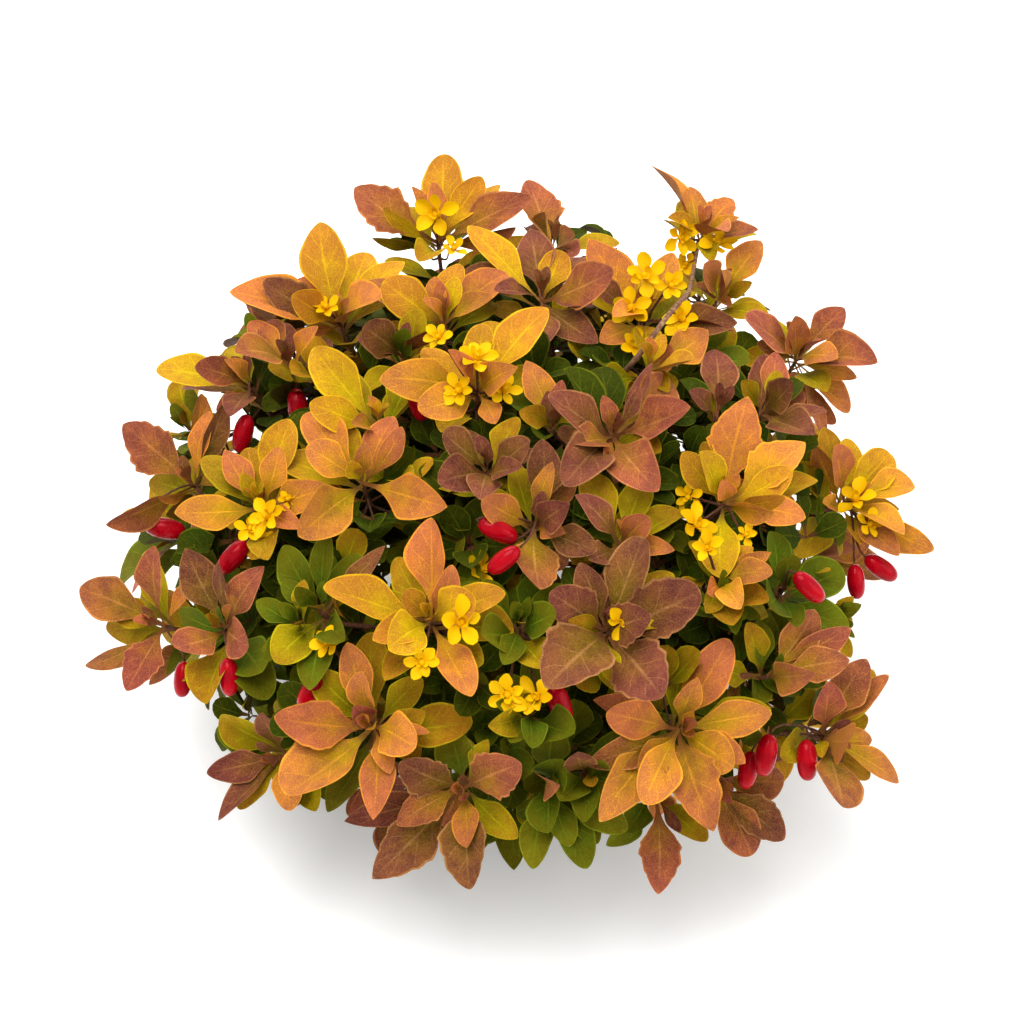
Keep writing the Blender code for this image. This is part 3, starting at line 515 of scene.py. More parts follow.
# Where the bare shoot begins to show, across and up in the view (metres).
SHOOT_FOOT = (0.0405, 0.0515)
SHOOT_AHEAD = 21 * MM

# Hidden sides: more rosettes by the golden angle, where the front leaves room.
DOME_POINTS = 64
DOME_LOWEST = -0.62
ROSETTE_SPACING = 25 * MM
SPRAY_SPACING = 43 * MM
SPRAY_LIMIT = 16
LOW_SPRAYS = 7
LOW_REACH = 64 * MM
LOW_HEIGHT = 30 * MM
LOW_SIZE = 0.85
LOW_SPIN = 40
FRONT_FILL_SIZE = 0.45
FILL_SEED = 900
FILL_SIZES = (0.92, 1.08)
FILL_TINTS = ("gold", "rose", "apricot", "mauve", "rose", "gold", "olive", "mauve")

# Finer twigs with tufts of small leaves, and what tints the leaves of a rosette mix.
TUFT_DEPTHS = (0.5, 0.68, 0.78, 0.84, 0.89)
TUFT_LOWEST = -0.85
TUFT_LEAVES = (4, 6)
TUFT_LENGTHS = (0.36, 0.54)
TUFT_CLEARANCE = 0.9 * MM
MIXED_TINTS = {
    "gold": ("gold", "gold", "gold", "apricot"),
    "apricot": ("apricot", "copper", "gold", "apricot"),
    "copper": ("copper", "apricot", "copper", "gold"),
    "rose": ("rose", "copper", "rose", "mauve"),
    "mauve": ("mauve", "mauve", "rose", "mauve"),
    "olive": ("olive", "olive", "rose", "green"),
    "green": ("green", "green", "olive", "green"),
}
UNDER_TINTS = {
    "gold": ("olive", "gold", "olive"),
    "apricot": ("olive", "gold", "copper"),
    "copper": ("olive", "copper", "olive"),
    "rose": ("olive", "rose", "olive"),
    "mauve": ("olive", "mauve", "shade"),
    "olive": ("green", "olive", "green"),
    "green": ("green", "shade", "green"),
}
# How far a way turns to the front, from 1 straight to it to -1 straight away: a rosette above the
# first value faces the front, and a leaf below the second stands behind its rosette.
FRONT_EDGE = -0.1
BACK_EDGE = -0.25
LEAVES_ROUND = 8
# More whorls on a rosette without leaves set one by one: leaves, shift and tilt (degrees), size,
# step along the axis (mm), and what tints they mix.
MORE_WHORLS = (
    (4, 47, 50, 0.74, 0.0, MIXED_TINTS),
    (6, 30, 80, 0.92, -3.5, UNDER_TINTS),
)
# Tufts inside the crown mostly take the shade tint, whose darker colour is painted shade deep in the crown.
TUFT_TINTS = ("shade", "shade", "green", "shade", "olive", "shade", "shade", "green")
TINTS = ("gold", "apricot", "copper", "rose", "mauve", "olive", "green", "shade")
# How strongly the fine speckle and the blotches darken each tint.
GRAIN = {
    "gold": (0.24, 0.16), "apricot": (0.28, 0.18), "copper": (0.32, 0.24), "rose": (0.42, 0.3),
    "mauve": (0.48, 0.34), "olive": (0.32, 0.3), "green": (0.34, 0.3), "shade": (0.3, 0.2),
}
# The outlines that leaves not set one by one take by chance.
LEAF_MIX = ("smooth", "pointed", "smooth", "toothed")

# The leaf's stations from stalk to tip, and how many faces stand across it.
STATIONS = (
    0.0, 0.1, 0.18, 0.25, 0.31, 0.36, 0.41, 0.455, 0.5, 0.54, 0.58, 0.62, 0.66, 0.7, 0.74, 0.78,
    0.815, 0.85, 0.88, 0.91, 0.935, 0.96, 0.978, 0.991, 1.0,
)
SMALL_STATIONS = (0.0, 0.2, 0.36, 0.5, 0.64, 0.77, 0.88, 0.96, 1.0)
FACES_ACROSS = 2
PETAL_FACES_ACROSS = 4
# Leaves that cut through others: the stations tested, and what share of the other's length or how
# many crossed faces leave one out.
BLADE_STATIONS = (0.0, 0.3, 0.42, 0.54, 0.66, 0.78, 0.9, 1.0)
CUTTER_SHARE = 0.62
CUTTER_FACES = 2
# Outline: where it is widest, the power of its wedge, the two powers of its tip, its slenderness.
OUTLINES = {
    "smooth": (0.61, 1.6, 1.8, 0.62, 2.35),
    "pointed": (0.57, 1.7, 1.55, 0.74, 2.3),
    "toothed": (0.55, 1.7, 1.55, 0.72, 2.15),
    "broad": (0.62, 1.4, 2.0, 0.56, 1.85),
    "wide": (0.53, 1.1, 1.85, 0.62, 1.7),
    "round": (0.62, 0.95, 2.2, 0.5, 1.6),
    "narrow": (0.61, 1.6, 1.6, 0.66, 3.0),
    "blade": (0.58, 1.5, 1.4, 0.8, 3.6),
    "petal": (0.64, 1.0, 2.2, 0.52, 1.75),
}
BERRY_BLUNTNESS = 2.35
STALK_SHARE = 0.08
TIP_SHARE = 0.03
TOOTH = 0.15
RAGGED = 0.028
PETAL_TIP_SHARE = 0.35
PETAL_RAGGED = 0.3 * RAGGED
LEAST_DROOP = 0.02
LEAST_HEIGHT = 0.4 * MM
MIDDLE_SHADE = 0.2

# The base, blush and foot of each tint of leaf. The shade tint is the green darkened as painted shade for
# leaves deep in the crown.
LEAF_COLOURS = {
    "gold": ((0.555, 0.295, 0.006), (0.50, 0.195, 0.022), (0.46, 0.32, 0.004)),
    "apricot": ((0.60, 0.208, 0.018), (0.51, 0.155, 0.050), (0.40, 0.225, 0.004)),
    "copper": ((0.48, 0.150, 0.022), (0.43, 0.120, 0.050), (0.33, 0.20, 0.004)),
    "rose": ((0.335, 0.096, 0.020), (0.30, 0.073, 0.046), (0.25, 0.14, 0.005)),
    "mauve": ((0.185, 0.060, 0.017), (0.180, 0.046, 0.033), (0.15, 0.085, 0.005)),
    "olive": ((0.315, 0.225, 0.003), (0.40, 0.175, 0.010), (0.165, 0.150, 0.0015)),
    "green": ((0.066, 0.098, 0.004), (0.135, 0.115, 0.004), (0.040, 0.070, 0.002)),
    "shade": ((0.024, 0.042, 0.0018), (0.042, 0.052, 0.002), (0.016, 0.030, 0.0015)),
}
# What the masks over a leaf are, and what drives them.
LEAF_MARKS = (
    "Midrib", "Veins", "Net", "Margin", "Heart", "Tip", "Stalk", "Speckle", "Blotch",
)
LEAF_MARK_VALUES = {
    "Vein Pairs": 5.0, "Vein Rise": 1.25, "Net Scale": 620.0, "Speckle Scale": 3100.0,
    "Blotch Scale": 190.0,
}
# What veins add to a leaf's base, what its underside is mixed with, and how bark is stretched.
PINK_VEINS = (0.14, 0.085, 0.035)
YELLOW_VEINS = (0.10, 0.085, 0.004)
UNDERSIDE = (0.30, 0.17, 0.05)
BARK_STRETCH = (1, 1, 0.28)

# The studio: what the lights look at, their width, and how far the view is shifted (pixels).
SHRUB_MIDDLE = Vector((0, 0, 0.06))
LIGHT_WIDTH = 1.2
VIEW_SHIFT_ACROSS = 6
VIEW_SHIFT_UP = 11
VIEW_PIXELS = 1024

# Properties


def span(name, description, default):
    return FloatProperty(name=name, description=description, default=default, unit="LENGTH")


def power(name, description, default):
    return FloatProperty(name=name, description=description, default=default, unit="POWER")


def factor(name, description, default):
    return FloatProperty(name=name, description=description, default=default)


def colour(name, description, default):
    return FloatVectorProperty(name=name, description=description, default=default, subtype="COLOR", size=3)


class ShrubSizes(PropertyGroup):
    """Sizes of the leaves, twigs, berries and flowers."""

    leaf_length: span("Leaf length", "Length of a full leaf with its stalk", 0.029)
    leaf_curl: factor("Leaf curl", "How strongly the leaves cup, droop and twist", 1.0)
    stem_radius: span("Twig radius", "Radius of a twig at its root", 0.0008)
    stalk_radius: span("Stalk radius", "Radius of a berry's stalk", 0.00032)
    bark_relief: span("Bark relief", "Height of the bark's ridges on the stem", 0.00055)
    berry_length: span("Berry length", "Length of a berry", 0.0115)
    berry_width: span("Berry width", "Width of a berry", 0.0058)
    flower_radius: span("Flower radius", "Reach of a flower's petals", 0.0052)
    tuft_points: IntProperty(
        name="Tufts", description="Places for tufts of small leaves inside the crown", default=520
    )


class ShrubColours(PropertyGroup):
    """The colours of bark, berries, flowers and floor, and below those of each tint of leaf."""

    stalk: colour("Stalk", "Leaf stalks and young twigs", (0.16, 0.050, 0.022))
    bark: colour("Bark", "Bark of the stem and boughs", (0.085, 0.042, 0.022))
    bark_crest: colour("Bark crest", "Ridges of the bark", (0.19, 0.115, 0.07))
    shoot: colour("Shoot", "Young bark of the bare shoot", (0.19, 0.085, 0.045))
    shoot_crest: colour("Shoot crest", "Ridges of the young bark", (0.42, 0.23, 0.13))
    berry: colour("Berry", "Ripe berries", (0.37, 0.0004, 0.006))
    flower: colour("Flower", "Petals", (0.81, 0.47, 0.001))
    floor: colour("Floor", "Plain studio floor", (0.92, 0.92, 0.91))


def leaf_colour_properties():
    """Three colours for each tint of leaf: its base, the blush over it and its foot."""
    made = {}
    for tint, tones in LEAF_COLOURS.items():
        for part, said, tone in zip(("", "_blush", "_heart"), ("Base", "Blush", "Foot"), tones):
            label = (tint + part).replace("_", " ").capitalize()
            made[tint + part] = colour(label, f"{said} of the {tint} leaves", tone)
    return made


ShrubColours.__annotations__.update(leaf_colour_properties())


class ShrubStage(PropertyGroup):
    """The studio: floor, lights and camera."""

    floor_width: span("Floor width", "Width of the floor", 6.0)
    key_power: power("Key light", "Power of the key light", 21.8)
    fill_power: power("Fill light", "Power of the fill light", 6.2)
    back_power: power("Back light", "Power of the back light", 12.0)
    floor_glow: factor("Floor glow", "Light from below, as on a light table", 0.22)
    sky_strength: factor("Sky", "Strength of the even light", 0.84)
    focal_length: factor("Focal length", "Focal length of the camera (mm)", 113.0)


def sizes():
    return bpy.context.scene.barberry_sizes


def colours():
    return bpy.context.scene.barberry_colours


def stage():
    return bpy.context.scene.barberry_stage


# Shader groups


class Wiring:
    """Short ways to add and join nodes in one tree."""

    def __init__(self, tree):
        self.tree = tree

    def node(self, kind, inputs=None, **settings):
        """A new node with these settings, and with its inputs (name: value or socket) put in."""
        made = self.tree.nodes.new(kind)
        for name, value in settings.items():
            setattr(made, name, value)
        for label, value in (inputs or {}).items():
            self.put(made.inputs[label], value)
        return made

    def put(self, socket, value):
        """Links a socket to value where it is an output, and otherwise sets it."""
        if isinstance(value, bpy.types.NodeSocket):
            self.tree.links.new(value, socket)
        elif isinstance(value, (tuple, list)) and len(value) == 3 and socket.type == "RGBA":
            socket.default_value = (*value, 1)
        else:
            socket.default_value = value

    def maths(self, operation, *values, clamp=False):
        node = self.node("ShaderNodeMath", operation=operation, use_clamp=clamp)
        for socket, value in zip(node.inputs, values):
            self.put(socket, value)
        return node.outputs[0]

    def times(self, first, second, clamp=False):
        return self.maths("MULTIPLY", first, second, clamp=clamp)

    def plus(self, value, share, base, clamp=False):
        """A share of value on top of base."""
        return self.maths("MULTIPLY_ADD", value, share, base, clamp=clamp)

    def ramp(self, value, low, high, first=0.0, last=1.0):
        """Value from low to high, taken smoothly to first to last."""
        ends = {"Value": value, "From Min": low, "From Max": high, "To Min": first, "To Max": last}
        return self.node("ShaderNodeMapRange", ends, interpolation_type="SMOOTHSTEP").outputs["Result"]

    def mix(self, share, under, over):
        ends = {"Factor": share, "A": under, "B": over}
        return self.node("ShaderNodeMix", ends, data_type="RGBA").outputs["Result"]

    def noise(self, place, scale, detail=2.0, roughness=0.5):
        ends = {"Vector": place, "Scale": scale, "Detail": detail, "Roughness": roughness}
        return self.node("ShaderNodeTexNoise", ends).outputs["Fac"]

    def bump(self, height, strength, distance):
        ends = {"Height": height, "Strength": strength, "Distance": distance}
        return self.node("ShaderNodeBump", ends).outputs["Normal"]

    def light(self, tone, value, hue=0.5):
        ends = {"Value": value, "Hue": hue, "Color": tone}
        return self.node("ShaderNodeHueSaturation", ends).outputs[0]

    def own_place(self):
        return self.node("ShaderNodeTexCoord").outputs["Object"]

    def attribute(self, name):
        return self.node("ShaderNodeAttribute", attribute_name=name).outputs["Fac"]

    def leaf_place(self):
        """Across and along the leaf or petal, each from 0 to 1."""
        uv = self.node("ShaderNodeUVMap", uv_map="leaf").outputs[0]
        parts = self.node("ShaderNodeSeparateXYZ", {"Vector": uv}).outputs
        return parts["X"], parts["Y"]


def new_group(name, inputs, outputs):
    """A shader group of float sockets, inputs given as name: value, with its wiring and its two ends."""
    group = bpy.data.node_groups.new(name, "ShaderNodeTree")
    for label, value in inputs.items():
        socket = group.interface.new_socket(name=label, in_out="INPUT", socket_type="NodeSocketFloat")
        socket.default_value = value
    for label in outputs:
        group.interface.new_socket(name=label, in_out="OUTPUT", socket_type="NodeSocketFloat")
    w = Wiring(group)
    return group, w, w.node("NodeGroupInput").outputs, w.node("NodeGroupOutput").inputs


def leaf_marks_group():
    """Masks over one leaf: its lines, its greener heart, its tip and stalk, speckle and blotches."""
    found = bpy.data.node_groups.get("leaf_marks")
    if found:
        return found
    group, w, given, made = new_group("leaf_marks", LEAF_MARK_VALUES, LEAF_MARKS)
    across, along = w.leaf_place()
    aside = w.maths("ABSOLUTE", w.plus(across, 2.0, -1.0))
    blade = w.ramp(along, 0.18, 0.36)
    rib = w.ramp(aside, 0.01, 0.09, 1.0, 0.0)
    w.put(made["Midrib"], w.times(rib, w.ramp(along, 0.6, 0.98, 1.0, 0.25)))
    rise = w.times(w.maths("POWER", aside, 0.8), given["Vein Rise"])
    wave = w.maths("SUBTRACT", w.times(along, given["Vein Pairs"]), rise)
    off = w.maths("ABSOLUTE", w.maths("SUBTRACT", w.maths("FRACT", wave), 0.5))
    line = w.ramp(off, 0.0, 0.055, 1.0, 0.0)
    line = w.times(line, w.ramp(aside, 0.62, 0.9, 1.0, 0.0))
    w.put(made["Veins"], w.times(line, blade))
    edge = w.maths("MAXIMUM", w.ramp(aside, 0.87, 0.96), w.ramp(along, 0.97, 1.0))
    w.put(made["Margin"], w.times(edge, blade))
    spread = w.plus(w.maths("POWER", aside, 1.5), 0.35, along)
    w.put(made["Heart"], w.ramp(spread, 0.28, 0.95, 1.0, 0.0))
    w.put(made["Tip"], w.ramp(along, 0.45, 1.0))
    w.put(made["Stalk"], w.ramp(along, 0.1, 0.3, 1.0, 0.0))
    place = w.own_place()
    w.put(made["Speckle"], w.ramp(w.noise(place, given["Speckle Scale"], 2.5, 0.75), 0.41, 0.59))
    ends = {"Vector": place, "Scale": given["Net Scale"]}
    cells = w.node("ShaderNodeTexVoronoi", ends, feature="DISTANCE_TO_EDGE")
    net = w.ramp(cells.outputs["Distance"], 0.0, 0.09, 1.0, 0.0)
    inside = w.times(blade, w.ramp(aside, 0.6, 0.95, 1.0, 0.0))
    w.put(made["Net"], w.times(net, inside))
    w.put(made["Blotch"], w.ramp(w.noise(place, given["Blotch Scale"], 2.0, 0.55), 0.33, 0.67))
    return group


def bark_marks_group():
    """Long furrows and fine flecks for bark, in the object's own metres."""
    found = bpy.data.node_groups.get("bark_marks")
    if found:
        return found
    scales = {"Furrow Scale": 600.0, "Fleck Scale": 1800.0}
    group, w, given, made = new_group("bark_marks", scales, ("Crest", "Fleck", "Height"))
    place = w.own_place()
    drawn = w.node("ShaderNodeMapping", {"Scale": BARK_STRETCH, "Vector": place})
    furrow = w.ramp(w.noise(drawn.outputs[0], given["Furrow Scale"], 4.0, 0.6), 0.35, 0.68)
    fleck = w.ramp(w.noise(place, given["Fleck Scale"], 2.0, 0.5), 0.4, 0.7)
    w.put(made["Crest"], furrow)
    w.put(made["Fleck"], fleck)
    w.put(made["Height"], w.plus(fleck, 0.3, furrow))
    return group


# Materials


def blank_material(name, **values):
    """A material with one Principled shader that has these values, and its wiring."""
    made = bpy.data.materials.new(name)
    made.use_nodes = True
    w = Wiring(made.node_tree)
    shader = made.node_tree.nodes["Principled BSDF"].inputs
    for label, value in values.items():
        w.put(shader[label.replace("_", " ")], value)
    return made, w, shader


def leaf_material(tint):
    """One tint of leaf: a blush over its base, a greener heart, pale veins and a light margin."""
    base = tuple(getattr(colours(), tint))
    blush = tuple(getattr(colours(), tint + "_blush"))
    heart = tuple(getattr(colours(), tint + "_heart"))
    added = PINK_VEINS if tint in ("rose", "mauve") else YELLOW_VEINS
    pale = tuple(1.25 * b + a for b, a in zip(base, added))
    under = tuple(0.65 * b + 0.35 * p for b, p in zip(blush, UNDERSIDE))
    made, w, shader = blank_material(
        "leaf_" + tint, Specular_IOR_Level=0.06, Specular_Tint=(1.0, 0.8, 0.35)
    )
    marks = w.node("ShaderNodeGroup", node_tree=leaf_marks_group()).outputs
    blush_of_leaf = w.attribute("leaf_blush")
    shade_of_leaf = w.attribute("leaf_shade")
    share = w.plus(marks["Speckle"], 0.7, -0.5)
    share = w.plus(marks["Blotch"], 0.5, share)
    share = w.plus(marks["Tip"], 0.5, share)
    share = w.plus(blush_of_leaf, 0.7, share)
    share = w.plus(marks["Heart"], -0.35, share, clamp=True)
    green = w.plus(blush_of_leaf, -0.35, 1.1)
    tone = w.mix(w.times(marks["Heart"], green, clamp=True), base, heart)
    tone = w.mix(share, tone, blush)
    for mark, strength in (("Net", 0.2), ("Veins", 0.5), ("Midrib", 0.65), ("Margin", 0.8)):
        tone = w.mix(w.times(marks[mark], strength), tone, pale)
    tone = w.mix(w.times(marks["Stalk"], 0.75), tone, tuple(colours().stalk))
    speckle, blotch = GRAIN[tint]
    value = w.plus(shade_of_leaf, 0.3, 0.85 + 0.5 * (speckle + blotch))
    value = w.plus(marks["Blotch"], -blotch, value)
    value = w.plus(marks["Speckle"], -speckle, value)
    lit = w.light(tone, value, w.plus(blush_of_leaf, -0.014, 0.51))
    back = w.node("ShaderNodeNewGeometry").outputs["Backfacing"]
    w.put(shader["Base Color"], w.mix(w.times(back, 0.6), lit, under))
    w.put(shader["Roughness"], w.plus(marks["Speckle"], 0.14, 0.5))
    height = w.plus(marks["Veins"], -0.6, w.times(marks["Speckle"], 0.5))
    height = w.plus(marks["Midrib"], -0.9, height)
    w.put(shader["Normal"], w.bump(height, 0.7, 0.22 * MM))
    return made


def bark_material(name, colour_name, crest_name, furrow_scale, distance):
    """Bark with paler ridges and darker flecks."""
    found = bpy.data.materials.get(name)
    if found:
        return found
    made, w, shader = blank_material(name, Specular_IOR_Level=0.15)
    marks = w.node("ShaderNodeGroup", node_tree=bark_marks_group())
    w.put(marks.inputs["Furrow Scale"], furrow_scale)
    marks = marks.outputs
    base = tuple(getattr(colours(), colour_name))
    crest = tuple(getattr(colours(), crest_name))
    tone = w.mix(marks["Crest"], base, crest)
    tone = w.mix(w.times(marks["Fleck"], 0.5), tone, tuple(0.35 * b for b in base))
    w.put(shader["Base Color"], tone)
    w.put(shader["Roughness"], w.ramp(marks["Crest"], 0.0, 1.0, 0.9, 0.72))
    w.put(shader["Normal"], w.bump(marks["Height"], 0.8, distance))
    return made


def stem_material():
    return bark_material("bark_of_stem", "bark", "bark_crest", 520.0, 0.6 * MM)


def twig_material():
    return bark_material("bark_of_twigs", "bark", "stalk", 900.0, 0.3 * MM)


def shoot_material():
    return bark_material("bark_of_shoot", "shoot", "shoot_crest", 900.0, 0.3 * MM)


def berry_material():
    """Ripe red skin with a waxy shine, darker flecks and a dull end."""
    made, w, shader = blank_material(
        "berry_skin",
        Coat_Weight=0.06,
        Coat_Roughness=0.08,
        Specular_IOR_Level=0.3,
        Specular_Tint=(1.0, 0.2, 0.22),
    )
    place = w.own_place()
    red = tuple(colours().berry)
    deep = (0.5 * red[0], red[1], red[2])
    patches = w.ramp(w.noise(place, 260.0, 2.0), 0.38, 0.66)
    fine = w.ramp(w.noise(place, 2600.0, 1.0), 0.55, 0.7)
    tone = w.mix(w.times(patches, 0.55), red, deep)
    tone = w.mix(w.times(fine, 0.15), tone, (0.60, 0.02, 0.02))
    end = w.attribute("berry_end")
    w.put(shader["Base Color"], w.mix(end, tone, (0.05, 0.02, 0.012)))
    w.put(shader["Roughness"], w.ramp(fine, 0.0, 1.0, 0.2, 0.32))
    w.put(shader["Normal"], w.bump(patches, 0.3, 0.2 * MM))
    return made


def petal_material():
    """Bright yellow petals, warmer at the root, with fine lines along them."""
    made, w, shader = blank_material("flower_petal", Specular_IOR_Level=0.06)
    across, along = w.leaf_place()
    lines = w.maths("SINE", w.times(across, 44.0))
    root = w.ramp(along, 0.1, 0.7, 1.0, 0.0)
    tone = w.mix(w.times(root, 0.4), tuple(colours().flower), (0.66, 0.30, 0.001))
    tone = w.mix(w.ramp(lines, 0.2, 1.0, 0.0, 0.16), tone, (0.72, 0.36, 0.003))
    shade_of_leaf = w.attribute("leaf_shade")
    w.put(shader["Base Color"], w.light(tone, w.plus(shade_of_leaf, 0.22, 0.86)))
    w.put(shader["Roughness"], w.ramp(lines, -1.0, 1.0, 0.5, 0.58))
    w.put(shader["Normal"], w.bump(lines, 0.25, 0.1 * MM))
    return made


def floor_material():
    """A plain pale floor that glows a little, as a light table does."""
    pale = tuple(colours().floor)
    made, w, shader = blank_material(
        "studio_floor",
        Roughness=0.95,
        Specular_IOR_Level=0.05,
        Emission_Color=pale,
        Emission_Strength=stage().floor_glow,
    )
    grain = w.noise(w.own_place(), 90.0, 3.0)
    w.put(shader["Base Color"], w.mix(w.times(grain, 0.04), pale, (0.7, 0.7, 0.69)))
    return made


# The growth rule


def frame_on(place, along, face):
    """A frame at place whose X runs along, and whose Z is as near as it can be to face."""
    x_axis = along.normalized()
    y_axis = face.cross(x_axis).normalized()
    z_axis = x_axis.cross(y_axis)
    turn = Matrix((x_axis, y_axis, z_axis)).transposed()
    return Matrix.Translation(place) @ turn.to_4x4()


def ball_shape(segments, rings):
    """A unit ball as its points and its faces by point number."""
    bm = bmesh.new()
    bmesh.ops.create_uvsphere(bm, u_segments=segments, v_segments=rings, radius=1)
    bm.verts.index_update()
    points = [v.co.copy() for v in bm.verts]
    faces = [tuple(v.index for v in f.verts) for f in bm.faces]
    bm.free()
    return points, faces


def placed(solid, matrix):
    points, faces = solid
    return [matrix @ point for point in points], faces


def spoon(station):
    power_of_widest = math.log(0.5) / math.log(LEAF_WIDEST)
    return math.sin(math.pi * station**power_of_widest) ** SPOON_POWER


def leaf_solid(lens, length, margin=0.0, blade_from=0.0):
    """The part's spoon-shaped leaf, which says here whether a leaf's place is free."""
    half_width = length / OUTLINES["smooth"][4] / 2
    half_thickness = LEAF_THICKNESS / 2 + margin
    root = LEAF_ROOT - LEAF_BASE * length
    points = []
    for point in lens[0]:
        station = max((1 + point.x) / 2, blade_from)
        side = 0.0
        height = 0.0
        if abs(point.z) > 0.5:
            height = math.copysign(half_thickness, point.z)
        elif station <= 0.99:
            side = math.copysign(half_width * spoon(station) + margin, point.y)
            height = LEAF_CUP * abs(side)
        droop = LEAF_DROOP * length * station**2
        points.append(Vector((root + length * station, side, height - droop)))
    return points, lens[1]


def bend(start, start_way, end, end_way, steps):
    """Points on a curve that leaves start along one way and reaches end along another."""
    reach = (end - start).length / 3
    first = start + start_way * reach
    second = end - end_way * reach
    path = []
    for step in range(steps + 1):
        t = step / steps
        s = 1 - t
        path.append(s**3 * start + 3 * s * s * t * first + 3 * s * t * t * second + t**3 * end)
    return path


def taper(first, last, steps):
    return [first + (last - first) * step / steps for step in range(steps + 1)]


def way_round(axis, turn):
    """The way out from an axis, turned round it from the view's right."""
    right = (VIEW_RIGHT - axis * VIEW_RIGHT.dot(axis)).normalized()
    return right * math.cos(turn) + axis.cross(right) * math.sin(turn)


def leaning(axis, out, lean):
    """The way of a leaf that leans from its axis outwards, and the way that its face looks."""
    along = axis * math.cos(lean) + out * math.sin(lean)
    return along, axis * math.sin(lean) - out * math.cos(lean)


def round_of(solid):
    """The middle of a solid's points, and how far they reach from it."""
    centre = sum(solid[0], Vector()) / len(solid[0])
    return centre, max((point - centre).length for point in solid[0])


class Room:
    """Every leaf placed so far with its owner, so that leaves keep clear of other sprays."""

    def __init__(self):
        self.items = []

    def add(self, owner, solid, blade):
        trees = BVHTree.FromPolygons(*solid), BVHTree.FromPolygons(*blade)
        self.items.append((owner, *round_of(solid), *trees))

    def is_free(self, owner, solid, blade):
        """Whether a leaf is clear of other sprays, and its blade of the blades in its own spray."""
        centre, radius = round_of(solid)
        tree = BVHTree.FromPolygons(*solid)
        blade_tree = BVHTree.FromPolygons(*blade)
        for other, place, reach, other_tree, other_blade in self.items:
            if (place - centre).length > radius + reach:
                continue
            if blade_tree.overlap(other_blade) if other == owner else tree.overlap(other_tree):
                return False
        return True


def eye_place():
    return CROWN_CENTRE + TO_EYE * VIEW_DISTANCE


def sight(across, up):
    """The line of sight to a place in the view, given in metres from the crown's centre."""
    return (CROWN_CENTRE + VIEW_RIGHT * across + VIEW_UP * up - eye_place()).normalized()


def in_sight(hub, across, up, ahead):
    """The point seen at a place in the view, as far off as the hub and then ahead of it."""
    ray = sight(across, up)
    return eye_place() + ray * ((hub - eye_place()).dot(ray) - ahead)


def in_view(point):
    """Where a point shows across and up in the view, from the crown's centre."""
    ray = point - eye_place()
    share = VIEW_DISTANCE / -ray.dot(TO_EYE)
    return ray.dot(VIEW_RIGHT) * share, ray.dot(VIEW_UP) * share


def on_dome(across, up):
    """The dome's point seen at this place in the view, or beside the dome where it is missed."""
    eye = eye_place()
    ray = sight(across, up)
    squeeze = Vector(1 / axis for axis in CROWN_AXES)
    start = (eye - CROWN_CENTRE) * squeeze
    way = ray * squeeze
    half = start.dot(way) / way.dot(way)
    miss = half * half - (start.dot(start) - 1) / way.dot(way)
    return eye + ray * (-half - math.sqrt(max(miss, 0)))


def dome_normal(place):
    """The way out of the dome at a place on it."""
    offset = place - CROWN_CENTRE
    return Vector(offset[i] / CROWN_AXES[i] ** 2 for i in range(3)).normalized()


def rosette_axis(hub):
    """A rosette faces out of the dome and turns up to the light."""
    return (dome_normal(hub) + UPTURN * UP).normalized()


def seen_tips(root, axis, across, up, length, lean):
    """Points on a line of sight, first the one that gives a leaf the length and lean nearest to its own."""
    eye = eye_place()
    ray = sight(across, up)
    nearest = (root - eye).dot(ray)
    tips = []
    for step in TIP_STEPS:
        tip = eye + ray * (nearest + step * MM)
        along = tip - root
        off_lean = (along.angle(axis, 0) - lean) / LEAN_SLACK
        off_length = (along.length / length - 1) / LENGTH_SLACK
        low = max(0.0, LOWEST_LEAF + 1 * MM - tip.z) / (1 * MM)
        tips.append((off_lean**2 + off_length**2 + LOW_COST * low, step, tip))
    tips.sort(key=lambda entry: entry[:2])
    return [tip for cost, _, tip in tips if cost < tips[0][0] + WORST_COST][:MOST_TIPS]


def fills_opening(made, length):
    """Whether a leaf would show in a place where the view looks past the plant."""
    for ahead, aside in LEAF_PROBES:
        across, up = in_view(made @ Vector((length * ahead, length * aside, 0)))
        for middle, height, radius in OPENINGS:
            if math.hypot(across - middle * MM, up - height * MM) < (radius - 0.5) * MM:
                return True
    return False


class Rosette:
    """A whorl of leaves at its hub, facing along its axis."""

    def __init__(self, hub, size, spin, tint, seen=()):
        self.hub = hub
        self.axis = rosette_axis(hub)
        self.size = size
        self.spin = math.radians(spin)
        self.tint = tint
        self.seen = seen

    def faces_front(self):
        return dome_normal(self.hub).dot(TO_EYE) > FRONT_EDGE


def add_rosettes(sprays, rows):
    """The rosettes that show from the front, gathered by spray, with their leaves set one by one."""
    for name, across, up, size, spin, tint in rows:
        group = sprays.setdefault(name, [])
        label = f"{name}_{len(group) + 1}" if group else name
        hub = on_dome(across * MM, up * MM)
        group.append(Rosette(hub, size, spin, tint, LEAVES_SEEN[label]))


def on_spiral(count, highest, lowest):
    """Even points on a unit ball's skin between two heights, by the golden angle."""
    for number in range(count):
        height = highest + (lowest - highest) * (number + 0.5) / count
        ring = math.sqrt(1 - height * height)
        turn = number * GOLDEN_ANGLE
        yield Vector((ring * math.cos(turn), ring * math.sin(turn), height))


